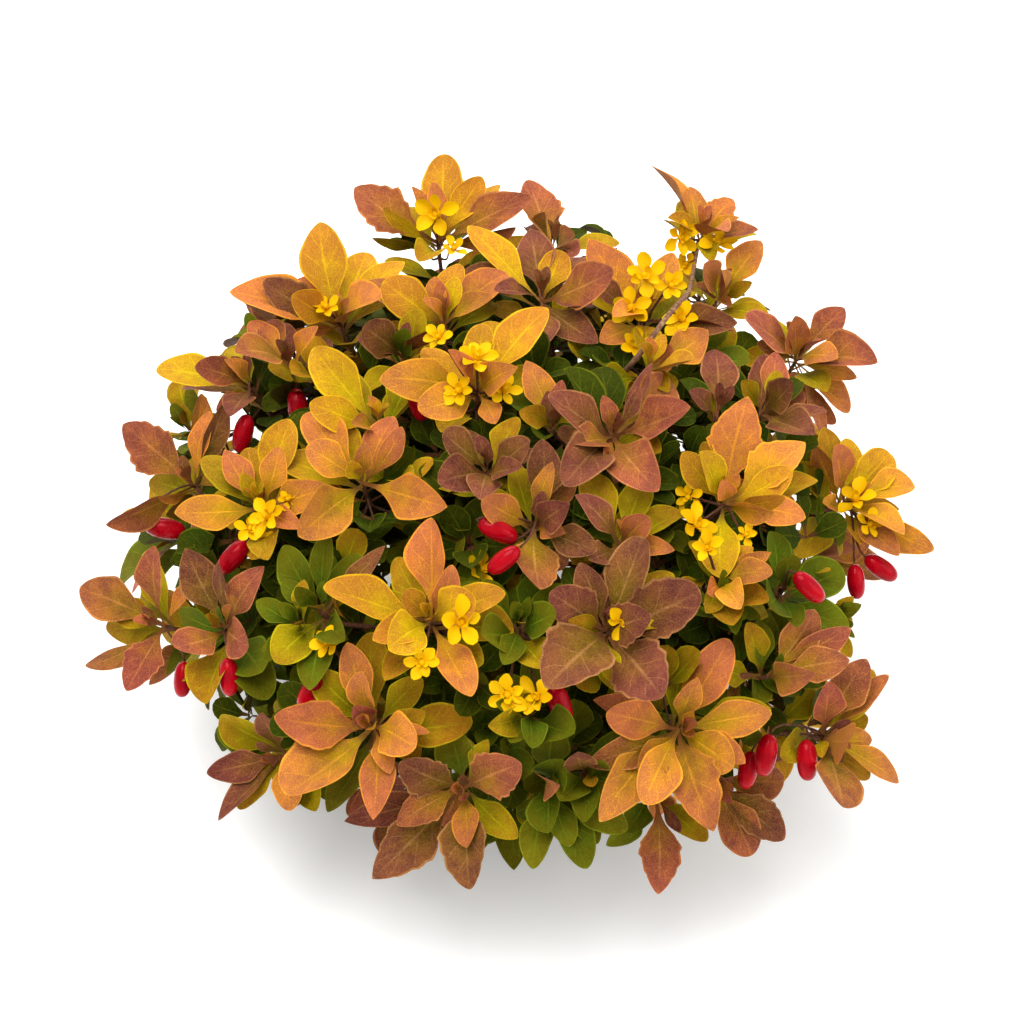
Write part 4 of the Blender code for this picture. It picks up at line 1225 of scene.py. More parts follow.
def fill_sprays(taken):
    """Sprays for the hidden sides: a free point leads, and free points near it are its side twigs."""
    points = [CROWN_CENTRE + way * CROWN_AXES for way in on_spiral(DOME_POINTS, 1, DOME_LOWEST)]
    free = [p for p in points if min((p - hub).length for hub in taken) > ROSETTE_SPACING]
    sprays = {}
    for point in free:
        number = len(sprays)
        near = [n for n, group in sprays.items() if (group[0].hub - point).length < SPRAY_SPACING]
        rng = random.Random(FILL_SEED + round(point.x * 1e5) + round(point.y * 1e4))
        tint = FILL_TINTS[rng.randrange(len(FILL_TINTS))]
        size = rng.uniform(*FILL_SIZES)
        made = Rosette(point, size, rng.uniform(0, 72), tint)
        if made.faces_front():
            made.size *= FRONT_FILL_SIZE
            made.tint = "green"
        if near:
            leader = min(near, key=lambda n: (sprays[n][0].hub - point).length)
            if len(sprays[leader]) < 3:
                sprays[leader].append(made)
        elif number < SPRAY_LIMIT:
            sprays[f"side_{number + 1:02d}"] = [made]
    return sprays


def low_sprays():
    """Green sprays in the shade round the foot, all the way round."""
    sprays = {}
    for number in range(LOW_SPRAYS):
        turn = 2 * math.pi * (number + 0.25) / LOW_SPRAYS
        hub = Vector((LOW_REACH * math.cos(turn), LOW_REACH * math.sin(turn), LOW_HEIGHT))
        sprays[f"low_{number + 1:02d}"] = [Rosette(hub, LOW_SIZE, LOW_SPIN * number, "green")]
    return sprays


def share_out(sprays, tips):
    """Each spray grows from the bough whose tip is best placed and not yet full."""
    carried = {number: [] for number in range(len(tips))}
    for name, group in sprays.items():
        hub = group[0].hub
        room = [n for n in carried if len(carried[n]) < STEMS_PER_BOUGH]
        carried[min(room, key=lambda n: (tips[n] - hub).length)].append(name)
    return carried


def spread_ways(ways, back, spread):
    """Turns the limbs that leave one place away from each other and from the limb behind them."""
    ways = [way.normalized() for way in ways]
    for _ in range(SPREAD_ROUNDS):
        for number, way in enumerate(ways):
            others = [w for i, w in enumerate(ways) if i != number] + [back]
            for other in others:
                if way.angle(other) < spread:
                    way = (way + SPREAD_STEP * (way - other)).normalized()
            ways[number] = way
    return ways


def bough_paths(tips, steps):
    """The boughs leave the burl well apart and arch out to their tips."""
    ways = spread_ways([tip - BURL_CENTRE for tip in tips], -UP, BOUGH_SPREAD)
    paths = []
    for tip, way in zip(tips, ways):
        start = BURL_CENTRE + way * (BURL_RADIUS + GAP)
        aim = (tip - BURL_CENTRE).normalized()
        paths.append(bend(start, way, tip, (1.3 * aim - 0.3 * UP).normalized(), steps))
    return paths


class Leaf:
    """Where a leaf grows and how it is bent. The order of its random draws stays."""

    def __init__(self, frame, length, outline, tint, rng, curl=1.0, fine=True):
        self.frame = frame
        self.length = length
        self.outline = outline
        self.tint = tint
        self.fine = fine
        self.cup = curl * rng.uniform(0.05, 0.42)
        self.droop = curl * rng.uniform(-0.1, 0.8)
        self.twist = curl * rng.uniform(-0.4, 0.4)
        self.wave = curl * rng.uniform(0.0, 0.022)
        self.phase = rng.uniform(0, FULL_TURN)
        self.shade = rng.random()
        self.blush = rng.random()
        self.width = rng.uniform(0.92, 1.08)
        self.form = rng.uniform(-1, 1)
        self.sweep = curl * rng.uniform(-0.16, 0.16)
        self.seen = False

    def kind(self):
        """What leaves of one piece that are made at once have in common."""
        return self.tint, self.outline, self.fine


class Spray:
    """One mass of foliage: its twigs, then its leaves, berries and flowers."""

    def __init__(self, name, group, knob, way, shrub):
        self.name = name
        self.group = group
        self.shrub = shrub
        self.rng = random.Random(f"spray {name}")
        self.fine_rng = random.Random(f"fine {name}")
        self.paths = []
        start = knob + way * (KNOB_RADIUS + GAP)
        self.grow(start, way, group[0], STEM_STEPS, 1.0, 0.7)
        path = self.paths[0]
        for rosette in group[1:]:
            root = path[SIDE_TWIG_STEP]
            along = (path[SIDE_TWIG_STEP + 1] - root).normalized()
            aim = (0.6 * along + 0.4 * (rosette.hub - root).normalized()).normalized()
            self.grow(root, aim, rosette, SIDE_TWIG_STEPS, 0.8, 0.65)

    def grow(self, start, way, rosette, steps, first, last):
        """A twig to a rosette: the source's few points say where leaves stand, finer ones make it."""
        radius = sizes().stem_radius
        self.paths.append(bend(start, way, rosette.hub, rosette.axis, steps))
        smooth = bend(start, way, rosette.hub, rosette.axis, FINE_STEPS)
        self.shrub.add_twig(smooth, first * radius, last * radius)

    def dress(self):
        """Berries and flowers, then leaves. Only a rosette that shows has leaves set one by one."""
        for across, up, lean, ahead in BERRIES.get(self.name, ()):
            self.hang_berry(across * MM, up * MM, math.radians(lean), ahead * MM)
        for across, up, size, ahead in FLOWERS.get(self.name, ()):
            self.set_flower(across * MM, up * MM, size, ahead * MM)
        for rosette in self.group:
            if rosette.seen:
                self.seen_leaves(rosette)
                self.leaves_behind(rosette)
            else:
                self.whorl(rosette, OUTER_LEAVES, 0, OUTER_TILT, 1.0)
                self.whorl(rosette, INNER_LEAVES, INNER_TURN, INNER_TILT, INNER_SIZE)
                self.more_whorls(rosette)
            self.heart(rosette)
        for path in self.paths:
            self.leaves_along(path)

    def seen_leaves(self, rosette):
        """The leaves whose tips are known, each with the lean and length nearest to its own."""
        for across, up, letters in rosette.seen:
            share, lean = LEAF_SIZES[letters[0]]
            outline = LEAF_OUTLINES[letters[1]]
            tint = LEAF_TINTS[letters[2]]
            if outline == "smooth" and tint in ("rose", "mauve", "copper", "apricot"):
                outline = self.fine_rng.choice(("smooth", "pointed", "pointed"))
            step = self.fine_rng.uniform(-0.3, 0.3) * HUB_RADIUS
            if tint in LOWER_TINTS and letters[0] != "S" and outline != "blade":
                lean = LOWER_TILT
                step = -LOWER_STEP
            root = rosette.hub + rosette.axis * step
            length = sizes().leaf_length * share
            tips = seen_tips(root, rosette.axis, across * MM, up * MM, length, math.radians(lean))
            leaf = self.set_leaf(root, tips, rosette.axis, outline, tint)
            leaf.width *= min(1, 1.04 * length / leaf.length)

    def set_leaf(self, root, tips, axis, outline, tint):
        """Sets a leaf from its root to the first of these tips where it is clear of the others."""
        rng = self.fine_rng
        room = self.shrub.room
        roll = rng.choice((-1, 1)) * rng.uniform(*ROLLS.get(outline, (0, 0.3)))
        light = TO_EYE if outline in ROLLS else 0.7 * axis + TO_EYE
        lens = self.shrub.lenses["leaf"]
        tried = []
        for tip in tips:
            length = (tip - root).length
            along = (tip - root).normalized()
            face = Matrix.Rotation(roll, 3, along) @ (light - along * light.dot(along))
            made = frame_on(root, along, face)
            solid = placed(leaf_solid(lens, length), made)
            blade = placed(leaf_solid(lens, length, 0, BLADE_FROM), made)
            tried.append((made, length, solid, blade))
            if room.is_free(self.name, solid, blade):
                break
        else:
            made, length, solid, blade = tried[0]
        room.add(self.name, solid, blade)
        leaf = Leaf(made, length, outline, tint, rng, sizes().leaf_curl)
        leaf.seen = True
        self.shrub.leaves.append(leaf)
        return leaf

    def leaves_behind(self, rosette):
        """Leaves on the side of a rosette that is turned from the front."""
        tints = UNDER_TINTS[rosette.tint]
        rng = self.fine_rng
        for number in range(LEAVES_ROUND):
            turn = rosette.spin + 2 * math.pi * number / LEAVES_ROUND + rng.uniform(-0.15, 0.15)
            tint = tints[rng.randrange(3)]
            length = sizes().leaf_length * rosette.size * rng.uniform(0.7, 0.95)
            lean = math.radians(rng.uniform(66, 84))
            root = rosette.hub - rosette.axis * 3 * MM
            if way_round(rosette.axis, turn).dot(TO_EYE) < BACK_EDGE:
                self.try_leaf(root, rosette.axis, turn, lean, length, "leaf", "smooth", tint)

    def heart(self, rosette):
        """Tiny leaves that close the middle of a rosette."""
        for number, tint in enumerate(MIXED_TINTS[rosette.tint]):
            turn = number * GOLDEN_ANGLE + rosette.spin
            lean = math.radians(8 + 7 * number)
            length = sizes().leaf_length * self.fine_rng.uniform(0.24, 0.34)
            made = self.leaf_frame(rosette.hub + rosette.axis * MM, rosette.axis, turn, lean)
            self.shrub.leaves.append(Leaf(made, length, "smooth", tint, self.fine_rng, 0.8, False))

    def leaf_frame(self, root, axis, turn, lean):
        """A leaf's frame, turned round its axis and leaned from it, with its face to the light."""
        along, face = leaning(axis, way_round(axis, turn), lean)
        return frame_on(root, along, face + LIGHT_TURN * UP)

    def whorl(self, rosette, count, shift, tilt, size):
        """A ring of leaves in the tints that the rosette mixes."""
        for number in range(count):
            turn = rosette.spin + math.radians(shift) + 2 * math.pi * number / count
            turn += self.rng.uniform(-TURN_VARIES, TURN_VARIES)
            lean = math.radians(tilt + self.rng.uniform(-TILT_VARIES, TILT_VARIES))
            length = sizes().leaf_length * rosette.size * size * self.rng.uniform(*SIZE_VARIES)
            step = self.rng.uniform(-0.5, 0.5) * HUB_RADIUS
            root = rosette.hub + rosette.axis * step
            tint = self.fine_rng.choice(MIXED_TINTS[rosette.tint])
            outline = self.fine_rng.choice(LEAF_MIX)
            self.try_leaf(root, rosette.axis, turn, lean, length, "small_leaf", outline, tint)

    def more_whorls(self, rosette):
        """On the sides without leaves set one by one: a middle whorl, and a lower one in older tints."""
        rng = self.fine_rng
        for count, shift, tilt, size, step, tints in MORE_WHORLS:
            for number in range(count):
                turn = rosette.spin + math.radians(shift) + 2 * math.pi * number / count
                turn += rng.uniform(-0.2, 0.2)
                lean = math.radians(tilt + rng.uniform(-9, 9))
                length = sizes().leaf_length * rosette.size * size * rng.uniform(0.85, 1.05)
                root = rosette.hub + rosette.axis * step * MM
                tint = rng.choice(tints[rosette.tint])
                outline = rng.choice(LEAF_MIX)
                self.try_leaf(root, rosette.axis, turn, lean, length, "leaf", outline, tint)

    def leaves_along(self, path):
        """A pair of small leaves on a twig, below its rosette."""
        root, end = path[-2:]
        first = self.rng.uniform(0, math.pi)
        for side in range(2):
            length = sizes().leaf_length * self.rng.uniform(*TWIG_LEAF_SIZES)
            turn = first + side * TWIG_LEAF_TURN
            tint = self.fine_rng.choice(UNDER_TINTS[self.group[0].tint])
            along = (end - root).normalized()
            lean = math.radians(TWIG_LEAF_TILT)
            self.try_leaf(root, along, turn, lean, length, "small_leaf", "broad", tint)

    def try_leaf(self, root, axis, turn, lean, length, shape, outline, tint):
        """Sets a leaf, turned or cut down where another spray or a limb is in its way."""
        lens = self.shrub.lenses[shape]
        for extra, cut in LEAF_TRIES:
            made = self.leaf_frame(root, axis, turn, lean + math.radians(extra))
            cut_length = length * cut
            solid = placed(leaf_solid(lens, cut_length), made)
            if min(point.z for point in solid[0]) < LOWEST_LEAF or fills_opening(made, cut_length):
                continue
            grown = placed(leaf_solid(lens, cut_length, LEAF_CLEARANCE), made)
            blade = placed(leaf_solid(lens, cut_length, 0, BLADE_FROM), made)
            if self.shrub.room.is_free(self.name, grown, blade):
                self.shrub.room.add(self.name, solid, blade)
                leaf = Leaf(made, cut_length, outline, tint, self.fine_rng, sizes().leaf_curl)
                self.shrub.leaves.append(leaf)
                return

    def nearest_rosette(self, across, up):
        """The rosette of this spray that shows nearest to a place in the view."""
        ray = sight(across, up)
        return min(self.group, key=lambda rosette: (rosette.hub - eye_place()).cross(ray).length)

    def hang_berry(self, across, up, lean, ahead):
        """A berry on its thin stalk, out in front of the leaves below the hub."""
        rosette = self.nearest_rosette(across, up)
        centre = in_sight(rosette.hub, across, up, ahead)
        drop = VIEW_RIGHT * math.sin(lean) - VIEW_UP * math.cos(lean) - 0.15 * TO_EYE
        self.shrub.add_berry(rosette.hub, rosette.axis, centre, drop.normalized())

    def set_flower(self, across, up, size, ahead):
        """A flower on a short stalk, open to the light."""
        rosette = self.nearest_rosette(across, up)
        centre = in_sight(rosette.hub, across, up, ahead)
        rng = self.fine_rng
        side = VIEW_RIGHT * rng.uniform(-0.9, 0.9) + VIEW_UP * rng.uniform(-0.8, 0.5)
        facing = (0.8 * rosette.axis + TO_EYE + side).normalized()
        self.shrub.add_flower(rosette.hub, centre, facing, size, rng)


class Shrub:
    """The whole plant as lists: limbs, twigs, leaves, berries, and flowers with their middles."""

    def __init__(self):
        self.room = Room()
        self.lenses = {"leaf": ball_shape(7, 2), "small_leaf": ball_shape(5, 2)}
        self.twigs = []
        self.stalks = []
        self.shoots = []
        self.leaves = []
        self.berries = []
        self.petals = []
        self.middles = []
        tips = [
            BOUGH_TIP_CENTRE + way * BOUGH_TIP_AXES
            for way in on_spiral(BOUGHS, HIGHEST_BOUGH, LOWEST_BOUGH)
        ]
        self.boughs = bough_paths(tips, BOUGH_STEPS)
        self.groups = {}
        add_rosettes(self.groups, ROSETTES)
        taken = [rosette.hub for group in self.groups.values() for rosette in group]
        add_rosettes(self.groups, LATE_ROSETTES)
        self.groups.update(fill_sprays(taken))
        self.groups.update(low_sprays())
        sprays = self.grow_sprays(tips)
        self.add_long_shoot(sprays["flower_shoot"], self.groups["tall_shoot"][0])
        for name in self.groups:
            sprays[name].dress()
        self.grow_tufts()
        cutters = cutting_leaves(self.leaves)
        self.leaves = [leaf for number, leaf in enumerate(self.leaves) if number not in cutters]

    def grow_sprays(self, tips):
        """The sprays with their twigs, each off the tip of its bough."""
        boughs = bough_paths(tips, 3)
        sprays = {}
        for number, names in share_out(self.groups, tips).items():
            tip = tips[number]
            ways = [self.groups[name][0].hub - tip for name in names]
            back = (boughs[number][-2] - tip).normalized()
            ways = spread_ways(ways, back, STEM_SPREAD)
            for name, way in zip(names, ways):
                sprays[name] = Spray(name, self.groups[name], tip, way, self)
        return sprays

    def add_long_shoot(self, spray, top):
        """The bare shoot that shows in front of the flowering spray and ends in the tall one."""
        foot = in_sight(spray.group[0].hub, *SHOOT_FOOT, SHOOT_AHEAD)
        root = spray.paths[0][1]
        out = (foot - root).normalized()
        end = (top.hub - foot).normalized()
        middle = (out + end).normalized()
        low = bend(root, out, foot, middle, FINE_STEPS)
        high = bend(foot, middle, top.hub, (end + UP).normalized(), FINE_STEPS)
        self.shoots.append((low, taper(0.8 * MM, 0.75 * MM, FINE_STEPS)))
        self.shoots.append((high, taper(0.75 * MM, 0.6 * MM, FINE_STEPS)))

    def add_twig(self, path, first, last):
        self.twigs.append((path, taper(first, last, len(path) - 1)))

    def add_berry(self, hub, axis, centre, drop):
        """A berry that hangs along drop, and its stalk from the hub."""
        top = centre - drop * 0.46 * sizes().berry_length
        path = bend(hub, axis, top, drop, 8)
        self.stalks.append((path, [sizes().stalk_radius] * len(path)))
        turn = drop.to_track_quat("Z", "Y").to_matrix().to_4x4()
        plump = 0.86 + 0.14 * math.sin(7 * len(self.berries)) ** 2
        self.berries.append(Matrix.Translation(centre) @ turn @ Matrix.Scale(plump, 4))

    def add_flower(self, hub, centre, facing, size, rng):
        """Open petals in two loose rings, the middle and the stalk."""
        stalk = bend(hub, facing, centre, facing, 5)
        self.stalks.append((stalk, [1.2 * sizes().stalk_radius] * len(stalk)))
        side = facing.orthogonal().normalized()
        first = rng.uniform(0, FULL_TURN)
        reach = sizes().flower_radius * size
        for count, share, lean in ((rng.randint(5, 6), 1.0, 74), (3, 0.6, 34)):
            for number in range(count):
                turn = first + share + number * 2 * math.pi / count + rng.uniform(-0.2, 0.2)
                out = Matrix.Rotation(turn, 3, facing) @ side
                along, face = leaning(facing, out, math.radians(lean + rng.uniform(-16, 14)))
                length = 1.08 * reach * share * rng.uniform(0.82, 1.18)
                made = frame_on(centre - along * LEAF_ROOT, along, face)
                petal = Leaf(made, length, "petal", "petal", rng)
                petal.droop = rng.uniform(-0.9, -0.1)
                petal.cup = rng.uniform(0.15, 0.45)
                petal.twist = 0.4 * petal.twist
                self.petals.append(petal)
        self.middles.append((centre + facing * 0.7 * MM, 0.2 * reach))

    def grow_tufts(self):
        """Finer twigs inside the crown, each with a tuft of small leaves, off the nearest limb."""
        rng = random.Random("tufts")
        anchors = [point for path, _ in self.twigs for point in path[2:-1]]
        anchors += [point for path in self.boughs for point in path[5:]]
        for across, up in SHADE_PLACES:
            view = (across * MM, up * MM)
            self.tuft(anchors, on_dome(*view) + SHADE_DEPTH * sight(*view), rng)
        for number, way in enumerate(on_spiral(sizes().tuft_points, 1, TUFT_LOWEST)):
            depth = TUFT_DEPTHS[number % len(TUFT_DEPTHS)] + rng.uniform(-0.04, 0.04)
            self.tuft(anchors, CROWN_CENTRE + way * CROWN_AXES * depth, rng)

    def tuft(self, anchors, place, rng):
        """One fine twig from the nearest anchor to a place, and the small leaves at its end."""
        root = min(anchors, key=lambda anchor: (anchor - place).length)
        out = rosette_axis(place)
        if (place - root).length < 3 * MM:
            place = root + out * 5 * MM
        way = (place - root).normalized()
        path = bend(root, (way - 0.2 * UP).normalized(), place, (way + out).normalized(), 5)
        self.add_twig(path, 0.4 * MM, 0.25 * MM)
        stray = Vector((rng.uniform(-1, 1), rng.uniform(-1, 1), rng.uniform(-1, 1)))
        axis = (out + 0.35 * stray).normalized()
        side = axis.orthogonal().normalized()
        first = rng.uniform(0, FULL_TURN)
        tint = TUFT_TINTS[rng.randrange(len(TUFT_TINTS))]
        leaves = rng.randint(*TUFT_LEAVES)
        for number in range(leaves):
            turn = first + number * 2 * math.pi / leaves + rng.uniform(-0.3, 0.3)
            leaf_out = Matrix.Rotation(turn, 3, axis) @ side
            along, face = leaning(axis, leaf_out, math.radians(rng.uniform(38, 82)))
            length = sizes().leaf_length * rng.uniform(*TUFT_LENGTHS)
            made = frame_on(place, along, face)
            if (place + along * length).z < LOWEST_LEAF or fills_opening(made, length):
                continue
            solid = placed(leaf_solid(self.lenses["small_leaf"], length, TUFT_CLEARANCE), made)
            if self.room.is_free("tufts", solid, solid):
                self.leaves.append(Leaf(made, length, "round", tint, rng, 1.0, False))


@cache
def shrub():
    """The plant's lists, grown once and used by every operator."""
    return Shrub()


# Meshes


def half_widths(outline, along, side, form, phase):
    """Half widths of leaves at their points, as a share of the widest, each leaf with a form of its own."""
    widest, wedge, round_of_tip, fall_of_tip, _ = OUTLINES[outline]
    widest = widest + 0.045 * form
    wedge = wedge * (1 + 0.22 * np.cos(3 * phase))
    rise = ((along - 0.08) / (widest - 0.08)).clip(0, 1)
    rise = STALK_SHARE + (1 - STALK_SHARE) * (rise * rise * (3 - 2 * rise)) ** wedge
    fall = ((along - widest) / (1 - widest)).clip(0, 1)
    tip = (1 - fall**round_of_tip) ** (fall_of_tip * (1 + 0.12 * np.sin(5 * phase)))
    shares = np.where(along < widest, rise, tip)
    blade = np.sin(np.pi * along.clip(0.2, 1)) * (along > 0.3)
    uneven = np.sin(13 * along + 2 * phase + 1.4 * side)
    uneven = uneven + 0.5 * np.sin(29 * along - 3 * phase + 2.2 * side)
    if outline in ("toothed", "wide"):
        saw = (7.3 * along + 0.3 * side + phase) % 1
        uneven = uneven + TOOTH / RAGGED * (saw - 0.5) * (1 + 0.5 * np.sin(5 * along + 7 * phase))
    ragged, end = (PETAL_RAGGED, PETAL_TIP_SHARE) if outline == "petal" else (RAGGED, TIP_SHARE)
    return np.where(along > 0.995, end, shares * (1 + ragged * blade * uneven))


def leaf_strip(stations, across):
    """A flat strip of faces: station number and side share of each point, and the faces."""
    bm = bmesh.new()
    bmesh.ops.create_grid(bm, x_segments=len(stations) - 1, y_segments=across, size=1)
    places, faces = arrays_of(bm)
    number = np.rint((places[:, 0] + 1) / 2 * (len(stations) - 1)).astype(int)
    return number, places[:, 1], faces


def arrays_of(bm):
    """The points and faces of a bmesh as arrays. Frees it."""
    bm.verts.index_update()
    points = np.array([v.co[:] for v in bm.verts])
    faces = np.array([[v.index for v in f.verts] for f in bm.faces])
    bm.free()
    return points, faces


def moved(shapes, frames):
    """Points given as (things or 1, points, 3), set into each thing's frame."""
    frames = np.array(frames)
    return np.einsum("nij,nvj->nvi", frames[:, :3, :3], shapes) + frames[:, None, :3, 3]


def bent_leaves(leaves, outline, stations, across):
    """The points of many leaves of one outline at once, each cupped, drooped and twisted its own way."""
    number, side, faces = leaf_strip(stations, across)
    along = np.array(stations)[number]

    def column(name):
        return np.array([getattr(leaf, name) for leaf in leaves])[:, None]

    length = column("length")
    share = half_widths(outline, along, side, column("form"), column("phase"))
    half = length / OUTLINES[outline][4] / 2 * column("width")
    across_leaf = side * share * half
    lift = column("cup") * np.abs(across_leaf) * (1 + 0.8 * np.abs(side) * share)
    ripple = np.sin(9 * along + column("phase")) * np.abs(side) ** 2 * share
    lift = lift + column("wave") * length * ripple
    turn = column("twist") * along
    wide = across_leaf * np.cos(turn) - lift * np.sin(turn)
    wide = wide + column("sweep") * length * along * (along - 1)
    high = across_leaf * np.sin(turn) + lift * np.cos(turn)
    droop = column("droop")
    droop = np.where(np.abs(droop) < LEAST_DROOP, LEAST_DROOP, droop)
    angle = droop * along
    ahead = length * np.sin(angle) / droop + high * np.sin(angle)
    rise = -length * (1 - np.cos(angle)) / droop + high * np.cos(angle)
    # The chord, not the arc, keeps the leaf's own direction.
    tilt = droop / 2
    x = ahead * np.cos(tilt) - rise * np.sin(tilt) + LEAF_ROOT - LEAF_BASE * length
    z = ahead * np.sin(tilt) + rise * np.cos(tilt)
    points = moved(np.stack([x, wide, z], axis=2), [leaf.frame for leaf in leaves])
    points[:, :, 2] = points[:, :, 2].clip(LEAST_HEIGHT)
    uv = np.stack([(side + 1) / 2, along], axis=1)
    values = {"leaf_" + name: np.broadcast_to(column(name), x.shape) for name in ("shade", "blush")}
    return points, faces, uv, values


def cutting_leaves(leaves):
    """Numbers of the leaves, none of them set one by one, that stand through the blade of another."""
    points = []
    faces = []
    owners = []
    for outline in OUTLINES:
        numbers = [number for number, leaf in enumerate(leaves) if leaf.outline == outline]
        if not numbers:
            continue
        made, quads, uv, _ = bent_leaves([leaves[number] for number in numbers], outline, BLADE_STATIONS, 2)
        quads = quads[uv[quads][:, :, 1].min(axis=1) >= BLADE_STATIONS[1]]
        faces += faces_of_each(made, quads, len(points)).tolist()
        points += made.reshape(-1, 3).tolist()
        owners += [number for number in numbers for _ in range(len(quads))]
    tree = BVHTree.FromPolygons(points, faces)
    crossings = {}
    for first, second in tree.overlap(tree):
        pair = (owners[first], owners[second])
        crossings[pair] = crossings.get(pair, 0) + 1
    cutters = set()
    for (first, second), faces_crossed in crossings.items():
        leaf = leaves[first]
        other = leaves[second]
        if leaf.seen or first == second:
            continue
        if leaf.length < CUTTER_SHARE * other.length or (other.seen and faces_crossed >= CUTTER_FACES):
            cutters.add(first)
    return cutters


def faces_of_each(points, faces, count):
    """The faces of one thing again for each of many things, whose points come after count others."""
    starts = count + points.shape[1] * np.arange(len(points))
    return (faces[None] + starts[:, None, None]).reshape(-1, faces.shape[1])


class Joined:
    """Many small things gathered into one mesh, all of triangles or all of four-sided faces."""

    def __init__(self):
        self.points = []
        self.faces = []
        self.uvs = []
        self.values = {}
        self.count = 0

    def add(self, points, faces, uv=None, values=None):
        """points is (things, points of one thing, 3); faces and uv are of one thing."""
        things, each = points.shape[:2]
        self.points.append(points.reshape(-1, 3))
        self.faces.append(faces_of_each(points, faces, self.count))
        uv = np.zeros((each, 2)) if uv is None else uv
        self.uvs.append(np.tile(uv, (things, 1)))
        for name, value in (values or {}).items():
            self.values.setdefault(name, []).append(np.asarray(value).reshape(-1))
        self.count += things * each

    def make(self, name, look):
        """The mesh with its UV map and values, as a new piece of this look."""
        points = np.concatenate(self.points).astype(np.float32)
        faces = np.concatenate(self.faces).astype(np.int32)
        mesh = bpy.data.meshes.new(name)
        mesh.vertices.add(len(points))
        mesh.vertices.foreach_set("co", points.ravel())
        mesh.loops.add(faces.size)
        mesh.loops.foreach_set("vertex_index", faces.ravel())
        mesh.polygons.add(len(faces))
        starts = np.arange(0, faces.size, faces.shape[1], dtype=np.int32)
        mesh.polygons.foreach_set("loop_start", starts)
        mesh.update(calc_edges=True)
        mesh.polygons.foreach_set("use_smooth", np.ones(len(faces), dtype=bool))
        layer = mesh.uv_layers.new(name="leaf")
        uvs = np.concatenate(self.uvs).astype(np.float32)
        layer.uv.foreach_set("vector", uvs[faces.ravel()].ravel())
        for label, parts in self.values.items():
            attribute = mesh.attributes.new(label, "FLOAT", "POINT")
            attribute.data.foreach_set("value", np.concatenate(parts).astype(np.float32))
        mesh.materials.append(look)
        mesh.validate()
        return new_piece(name, mesh)


def new_piece(name, mesh):
    piece = bpy.data.objects.new(name, mesh)
    bpy.context.scene.collection.objects.link(piece)
    return piece


def finished_piece(bm, name, look):
    """A bmesh as a smooth piece of this look. Frees it."""
    bmesh.ops.recalc_face_normals(bm, faces=bm.faces)
    for face in bm.faces:
        face.smooth = True
    mesh = bpy.data.meshes.new(name)
    bm.to_mesh(mesh)
    bm.free()
    mesh.materials.append(look)
    return new_piece(name, mesh)


def hand_over(piece, nodes):
    """The piece rides with the shrub and stands for these nodes."""
    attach(piece, "root")
    if nodes:
        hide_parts(*nodes)


def path_frames(path):
    """A frame at each point of a path, its Z along the path, turned as little as can be."""
    befores = [path[0], *path[:-1]]
    afters = [*path[1:], path[-1]]
    ways = [(after - before).normalized() for before, after in zip(befores, afters)]
    turn = ways[0].to_track_quat("Z", "Y")
    frames = []
    last = ways[0]
    for point, way in zip(path, ways):
        turn = last.rotation_difference(way) @ turn
        last = way
        frames.append(Matrix.Translation(point) @ turn.to_matrix().to_4x4())
    return frames


def limb(bm, path, radii, sides):
    """A limb of rings, extruded from a first disc along its path, closed at both ends."""
    frames = path_frames(path)
    before = frames[0] @ Matrix.Scale(radii[0], 4)
    made = bmesh.ops.create_circle(bm, cap_ends=True, segments=sides, radius=1, matrix=before)
    disc = made["verts"][0].link_faces[0]
    for frame_here, radius in zip(frames[1:], radii[1:]):
        grown_part = bmesh.ops.extrude_face_region(bm, geom=[disc])["geom"]
        ring = [g for g in grown_part if isinstance(g, bmesh.types.BMVert)]
        disc = next(g for g in grown_part if isinstance(g, bmesh.types.BMFace))
        here = frame_here @ Matrix.Scale(radius, 4)
        bmesh.ops.transform(bm, matrix=here @ before.inverted(), verts=ring)
        before = here


@cache
def tube_strip(rings, sides):
    """A straight tube of faces: ring number and place round the ring of each point, and the faces."""
    bm = bmesh.new()
    first_at_x = Matrix.Rotation(-math.pi / 2, 4, "Z")
    bmesh.ops.create_cone(bm, segments=sides, radius1=1, radius2=1, depth=2, matrix=first_at_x)
    lengthwise = [edge for edge in bm.edges if abs(edge.verts[0].co.z - edge.verts[1].co.z) > 1]
    bmesh.ops.subdivide_edges(bm, edges=lengthwise, cuts=rings - 2)
    places, faces = arrays_of(bm)
    number = np.rint((places[:, 2] + 1) / 2 * (rings - 1)).astype(int)
    return number, places * (1, 1, 0), faces


def tube(path, radii, sides):
    """The points and faces of one twig, drawn in to nothing at either end."""
    frames = path_frames(path)
    frames = np.array([frames[0], *frames, frames[-1]])
    radii = np.array([CLOSED, *radii, CLOSED])
    number, places, faces = tube_strip(len(radii), sides)
    points = moved(places[:, None] * radii[number, None, None], frames[number])
    return points.swapaxes(0, 1), faces


def ball_template(cuts):
    """A ball of four-sided faces, from a cube."""
    bm = bmesh.new()
    bmesh.ops.create_cube(bm, size=2)
    bmesh.ops.subdivide_edges(bm, edges=bm.edges, cuts=cuts, use_grid_fill=True)
    for vert in bm.verts:
        vert.co = Vector(math.tan(value * math.pi / 4) for value in vert.co).normalized()
    return arrays_of(bm)


def foliage_nodes(tint=None):
    """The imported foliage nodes, or those whose leading rosette has this tint."""
    groups = shrub().groups.items()
    return ["foliage_" + name for name, group in groups if tint in (None, group[0].tint)]


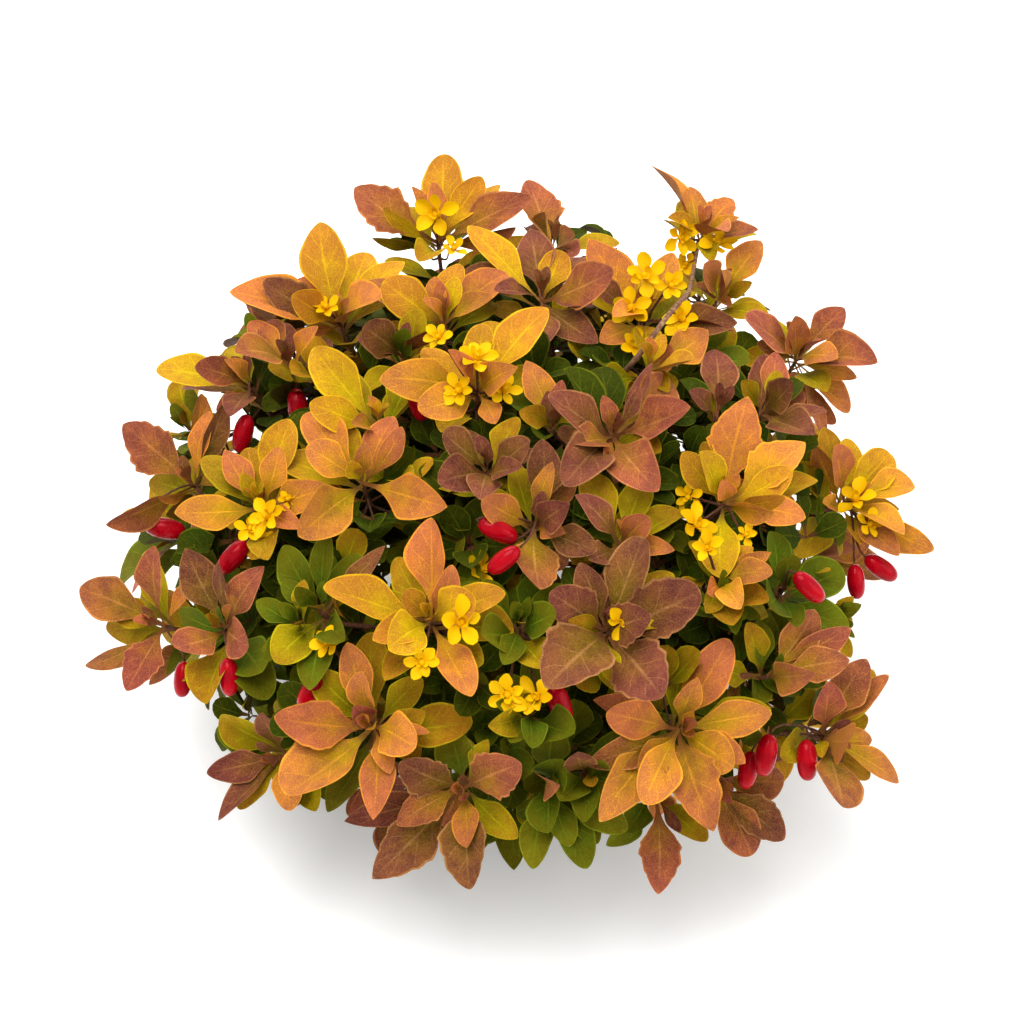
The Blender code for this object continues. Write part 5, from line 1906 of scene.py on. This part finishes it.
class BARBERRY_OT_main_stem(Operator):
    """Adds the short main stem with its root flare, burl and ridged bark"""

    bl_idname = "barberry.main_stem"
    bl_label = "Main stem"

    def execute(self, context):
        path = []
        radii = []
        for height in STEM_HEIGHTS:
            z = height * MM
            path.append(Vector((min(z / BURL_CENTRE.z, 1) * BURL_CENTRE.x, 0, z)))
            flare = (FOOT_RADIUS - WAIST_RADIUS) * max(0.0, 1 - z / WAIST_HEIGHT) ** 1.8
            burl = math.sqrt(max(0.0, BURL_RADIUS**2 - (z - BURL_CENTRE.z) ** 2))
            stem = WAIST_RADIUS + flare if z < BURL_CENTRE.z else 0.0
            radii.append(max(stem, burl, 1 * MM))
        bm = bmesh.new()
        limb(bm, path, radii, 40)
        for vert in bm.verts:
            vert.co.z = max(vert.co.z, 0)
            if vert.co.z > 0.1 * MM:
                vert.co += self.relief(vert.co)
        piece = finished_piece(bm, "bark_main_stem", stem_material())
        hand_over(piece, ["main_stem"])
        return {"FINISHED"}

    def relief(self, place):
        """How far the bark stands out here: its ridges, the roots at the foot and the knots."""
        turn = math.atan2(place.y, place.x)
        around = Vector((math.cos(turn), math.sin(turn), 0))
        ridge = noise.noise(around * 3.5 + UP * place.z * 90)
        roots = math.cos(5 * turn + 0.6) * max(0.0, 1 - place.z / (9 * MM)) * 0.6
        knots = noise.noise(place * 260)
        return around * (sizes().bark_relief * (1.3 * abs(ridge) * 2 - 0.6 + roots + 0.9 * knots))


class BARBERRY_OT_boughs(Operator):
    """Adds the boughs that fan out from the burl, with their collars, knobs and ridges"""

    bl_idname = "barberry.boughs"
    bl_label = "Boughs"

    def execute(self, context):
        bm = bmesh.new()
        for path in shrub().boughs:
            way = (path[1] - path[0]).normalized()
            path = [path[0] - way * 2 * MM] + path
            steps = len(path) - 1
            radii = []
            for step in range(steps + 1):
                share = step / steps
                radius = BOUGH_BASE_RADIUS + (BOUGH_TIP_RADIUS - BOUGH_BASE_RADIUS) * share
                radii.append(radius + 1.0 * MM * max(0.0, 1 - 5 * share) ** 2)
            end = (path[-1] - path[-2]).normalized()
            for ahead, radius in KNOB_RINGS:
                path.append(path[steps] + end * (ahead + 0.2) * MM)
                radii.append(radius * MM)
            limb(bm, path, radii, 12)
        for vert in bm.verts:
            ridge = noise.noise(vert.co * 420)
            away = noise.noise(vert.co * 130)
            vert.co += 0.16 * MM * vert.normal * (ridge + 0.8 * away)
        piece = finished_piece(bm, "bark_boughs", stem_material())
        hand_over(piece, [f"bough_{number + 1:02d}" for number in range(BOUGHS)])
        return {"FINISHED"}


class BARBERRY_OT_twigs(Operator):
    """Adds the twigs, down to the stalks of the berries and flowers, and their thorns"""

    bl_idname = "barberry.twigs"
    bl_label = "Twigs"

    def execute(self, context):
        joined = Joined()
        rng = random.Random("thorns")
        for path, radii in shrub().twigs + shrub().stalks:
            radii = [radius * rng.uniform(0.94, 1.1) for radius in radii]
            joined.add(*tube(path, radii, 6 if len(path) > 9 else 5))
        for path, _ in shrub().twigs:
            if len(path) == FINE_STEPS + 1:
                for number in THORN_STEPS:
                    joined.add(*tube(self.thorn(path, number, rng), THORN_RADII, 4))
        piece = joined.make("twigs", twig_material())
        hand_over(piece, foliage_nodes())
        bare = Joined()
        for path, radii in shrub().shoots:
            bare.add(*tube(path, radii, 10))
        hand_over(bare.make("bare_shoot", shoot_material()), ())
        return {"FINISHED"}

    def thorn(self, path, number, rng):
        """The three points of a thorn that stands on a twig and leans along it."""
        way = (path[number + 1] - path[number]).normalized()
        out = Matrix.Rotation(rng.uniform(0, FULL_TURN), 3, way) @ way.orthogonal().normalized()
        aim = (out + 0.5 * way).normalized()
        length = rng.uniform(2.5, 4.5) * MM
        return [path[number] + aim * length * share for share in (0, 0.5, 1)]


class BARBERRY_OT_leaves(Operator):
    """Adds the leaves, one piece for each tint"""

    bl_idname = "barberry.leaves"
    bl_label = "Leaves"

    def execute(self, context):
        for tint in TINTS:
            joined = Joined()
            for outline in OUTLINES:
                for fine, stations in ((True, STATIONS), (False, SMALL_STATIONS)):
                    kind = (tint, outline, fine)
                    chosen = [leaf for leaf in shrub().leaves if leaf.kind() == kind]
                    if chosen:
                        joined.add(*bent_leaves(chosen, outline, stations, FACES_ACROSS))
            piece = joined.make("leaves_" + tint, leaf_material(tint))
            hand_over(piece, foliage_nodes(tint))
        return {"FINISHED"}


class BARBERRY_OT_berries(Operator):
    """Adds the red berries, each with the dry scar at its end"""

    bl_idname = "barberry.berries"
    bl_label = "Berries"

    def execute(self, context):
        points, faces = ball_template(5)
        ends = (points[:, 2] > 0.985).astype(float)
        full = np.hypot(points[:, 0], points[:, 1]) ** BERRY_BLUNTNESS
        full = full + np.abs(points[:, 2]) ** BERRY_BLUNTNESS
        shape = points * full[:, None] ** (-1 / BERRY_BLUNTNESS)
        shape *= (sizes().berry_width / 2, sizes().berry_width / 2, sizes().berry_length / 2)
        shape[ends > 0, 2] -= 0.25 * MM
        berries = moved(shape[None], shrub().berries)
        joined = Joined()
        joined.add(berries, faces, None, {"berry_end": np.broadcast_to(ends, berries.shape[:2])})
        piece = joined.make("berries", berry_material())
        hand_over(piece, foliage_nodes("rose"))
        return {"FINISHED"}


class BARBERRY_OT_flowers(Operator):
    """Adds the yellow flowers with their middles"""

    bl_idname = "barberry.flowers"
    bl_label = "Flowers"

    def execute(self, context):
        joined = Joined()
        joined.add(*bent_leaves(shrub().petals, "petal", SMALL_STATIONS, PETAL_FACES_ACROSS))
        points, faces = ball_template(2)
        for centre, radius in shrub().middles:
            middle = points * radius + np.array(centre[:])
            shade = np.full((1, len(middle)), MIDDLE_SHADE)
            joined.add(middle[None], faces, None, {"leaf_shade": shade, "leaf_blush": shade})
        piece = joined.make("flowers", petal_material())
        hand_over(piece, foliage_nodes("gold"))
        return {"FINISHED"}


def area_light(name, place, watts):
    """A wide round light that looks at the middle of the shrub."""
    data = bpy.data.lights.new(name, "AREA")
    data.energy = watts
    data.shape = "DISK"
    data.size = LIGHT_WIDTH
    light = bpy.data.objects.new(name, data)
    light.location = place
    light.rotation_euler = (SHRUB_MIDDLE - Vector(place)).to_track_quat("-Z", "Y").to_euler()
    bpy.context.scene.collection.objects.link(light)


class BARBERRY_OT_stage(Operator):
    """Adds the plain floor, the soft studio light and the camera"""

    bl_idname = "barberry.stage"
    bl_label = "Stage"

    def execute(self, context):
        bm = bmesh.new()
        bmesh.ops.create_grid(bm, x_segments=8, y_segments=8, size=stage().floor_width / 2)
        floor = finished_piece(bm, "floor", floor_material())
        area_light("key", (-0.3, -0.25, 1.55), stage().key_power)
        area_light("fill", (1.1, -0.5, 0.8), stage().fill_power)
        area_light("back", (-0.2, 1.1, 0.9), stage().back_power)
        world = bpy.data.worlds.new("studio")
        world.use_nodes = True
        sky = world.node_tree.nodes["Background"].inputs
        sky["Color"].default_value = (0.98, 0.99, 1.0, 1)
        sky["Strength"].default_value = stage().sky_strength
        context.scene.world = world
        context.scene.view_settings.view_transform = "Standard"
        data = bpy.data.cameras.new("camera")
        data.lens = stage().focal_length
        data.sensor_width = 36.0
        data.shift_x = VIEW_SHIFT_ACROSS / VIEW_PIXELS
        data.shift_y = VIEW_SHIFT_UP / VIEW_PIXELS
        camera = bpy.data.objects.new("camera", data)
        camera.location = eye_place()
        camera.rotation_euler = (-TO_EYE).to_track_quat("-Z", "Y").to_euler()
        context.scene.collection.objects.link(camera)
        context.scene.camera = camera
        return {"FINISHED"}


class BARBERRY_PT_sidebar(Panel):
    """Lists the pieces of the shrub and the values they are made from"""

    bl_label = "Japanese barberry"
    bl_idname = "BARBERRY_PT_sidebar"
    bl_space_type = "VIEW_3D"
    bl_region_type = "UI"
    bl_category = "Barberry"

    def draw(self, context):
        for operator in OPERATORS:
            self.layout.operator(operator.bl_idname)
        for group in (sizes(), colours(), stage()):
            column = self.layout.column()
            for name in group.bl_rna.properties.keys():
                if name not in ("rna_type", "name"):
                    column.prop(group, name)


OPERATORS = (
    BARBERRY_OT_stage,
    BARBERRY_OT_main_stem,
    BARBERRY_OT_boughs,
    BARBERRY_OT_twigs,
    BARBERRY_OT_leaves,
    BARBERRY_OT_berries,
    BARBERRY_OT_flowers,
)
CLASSES = (ShrubSizes, ShrubColours, ShrubStage, *OPERATORS, BARBERRY_PT_sidebar)


def register():
    for item in CLASSES:
        bpy.utils.register_class(item)
    bpy.types.Scene.barberry_sizes = PointerProperty(type=ShrubSizes)
    bpy.types.Scene.barberry_colours = PointerProperty(type=ShrubColours)
    bpy.types.Scene.barberry_stage = PointerProperty(type=ShrubStage)


def unregister():
    del bpy.types.Scene.barberry_sizes
    del bpy.types.Scene.barberry_colours
    del bpy.types.Scene.barberry_stage
    for item in reversed(CLASSES):
        bpy.utils.unregister_class(item)


def main():
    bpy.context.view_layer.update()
    register()
    bpy.ops.barberry.stage()
    bpy.ops.barberry.main_stem()
    bpy.ops.barberry.boughs()
    bpy.ops.barberry.twigs()
    bpy.ops.barberry.leaves()
    bpy.ops.barberry.berries()
    bpy.ops.barberry.flowers()


if __name__ == "__main__":
    main()
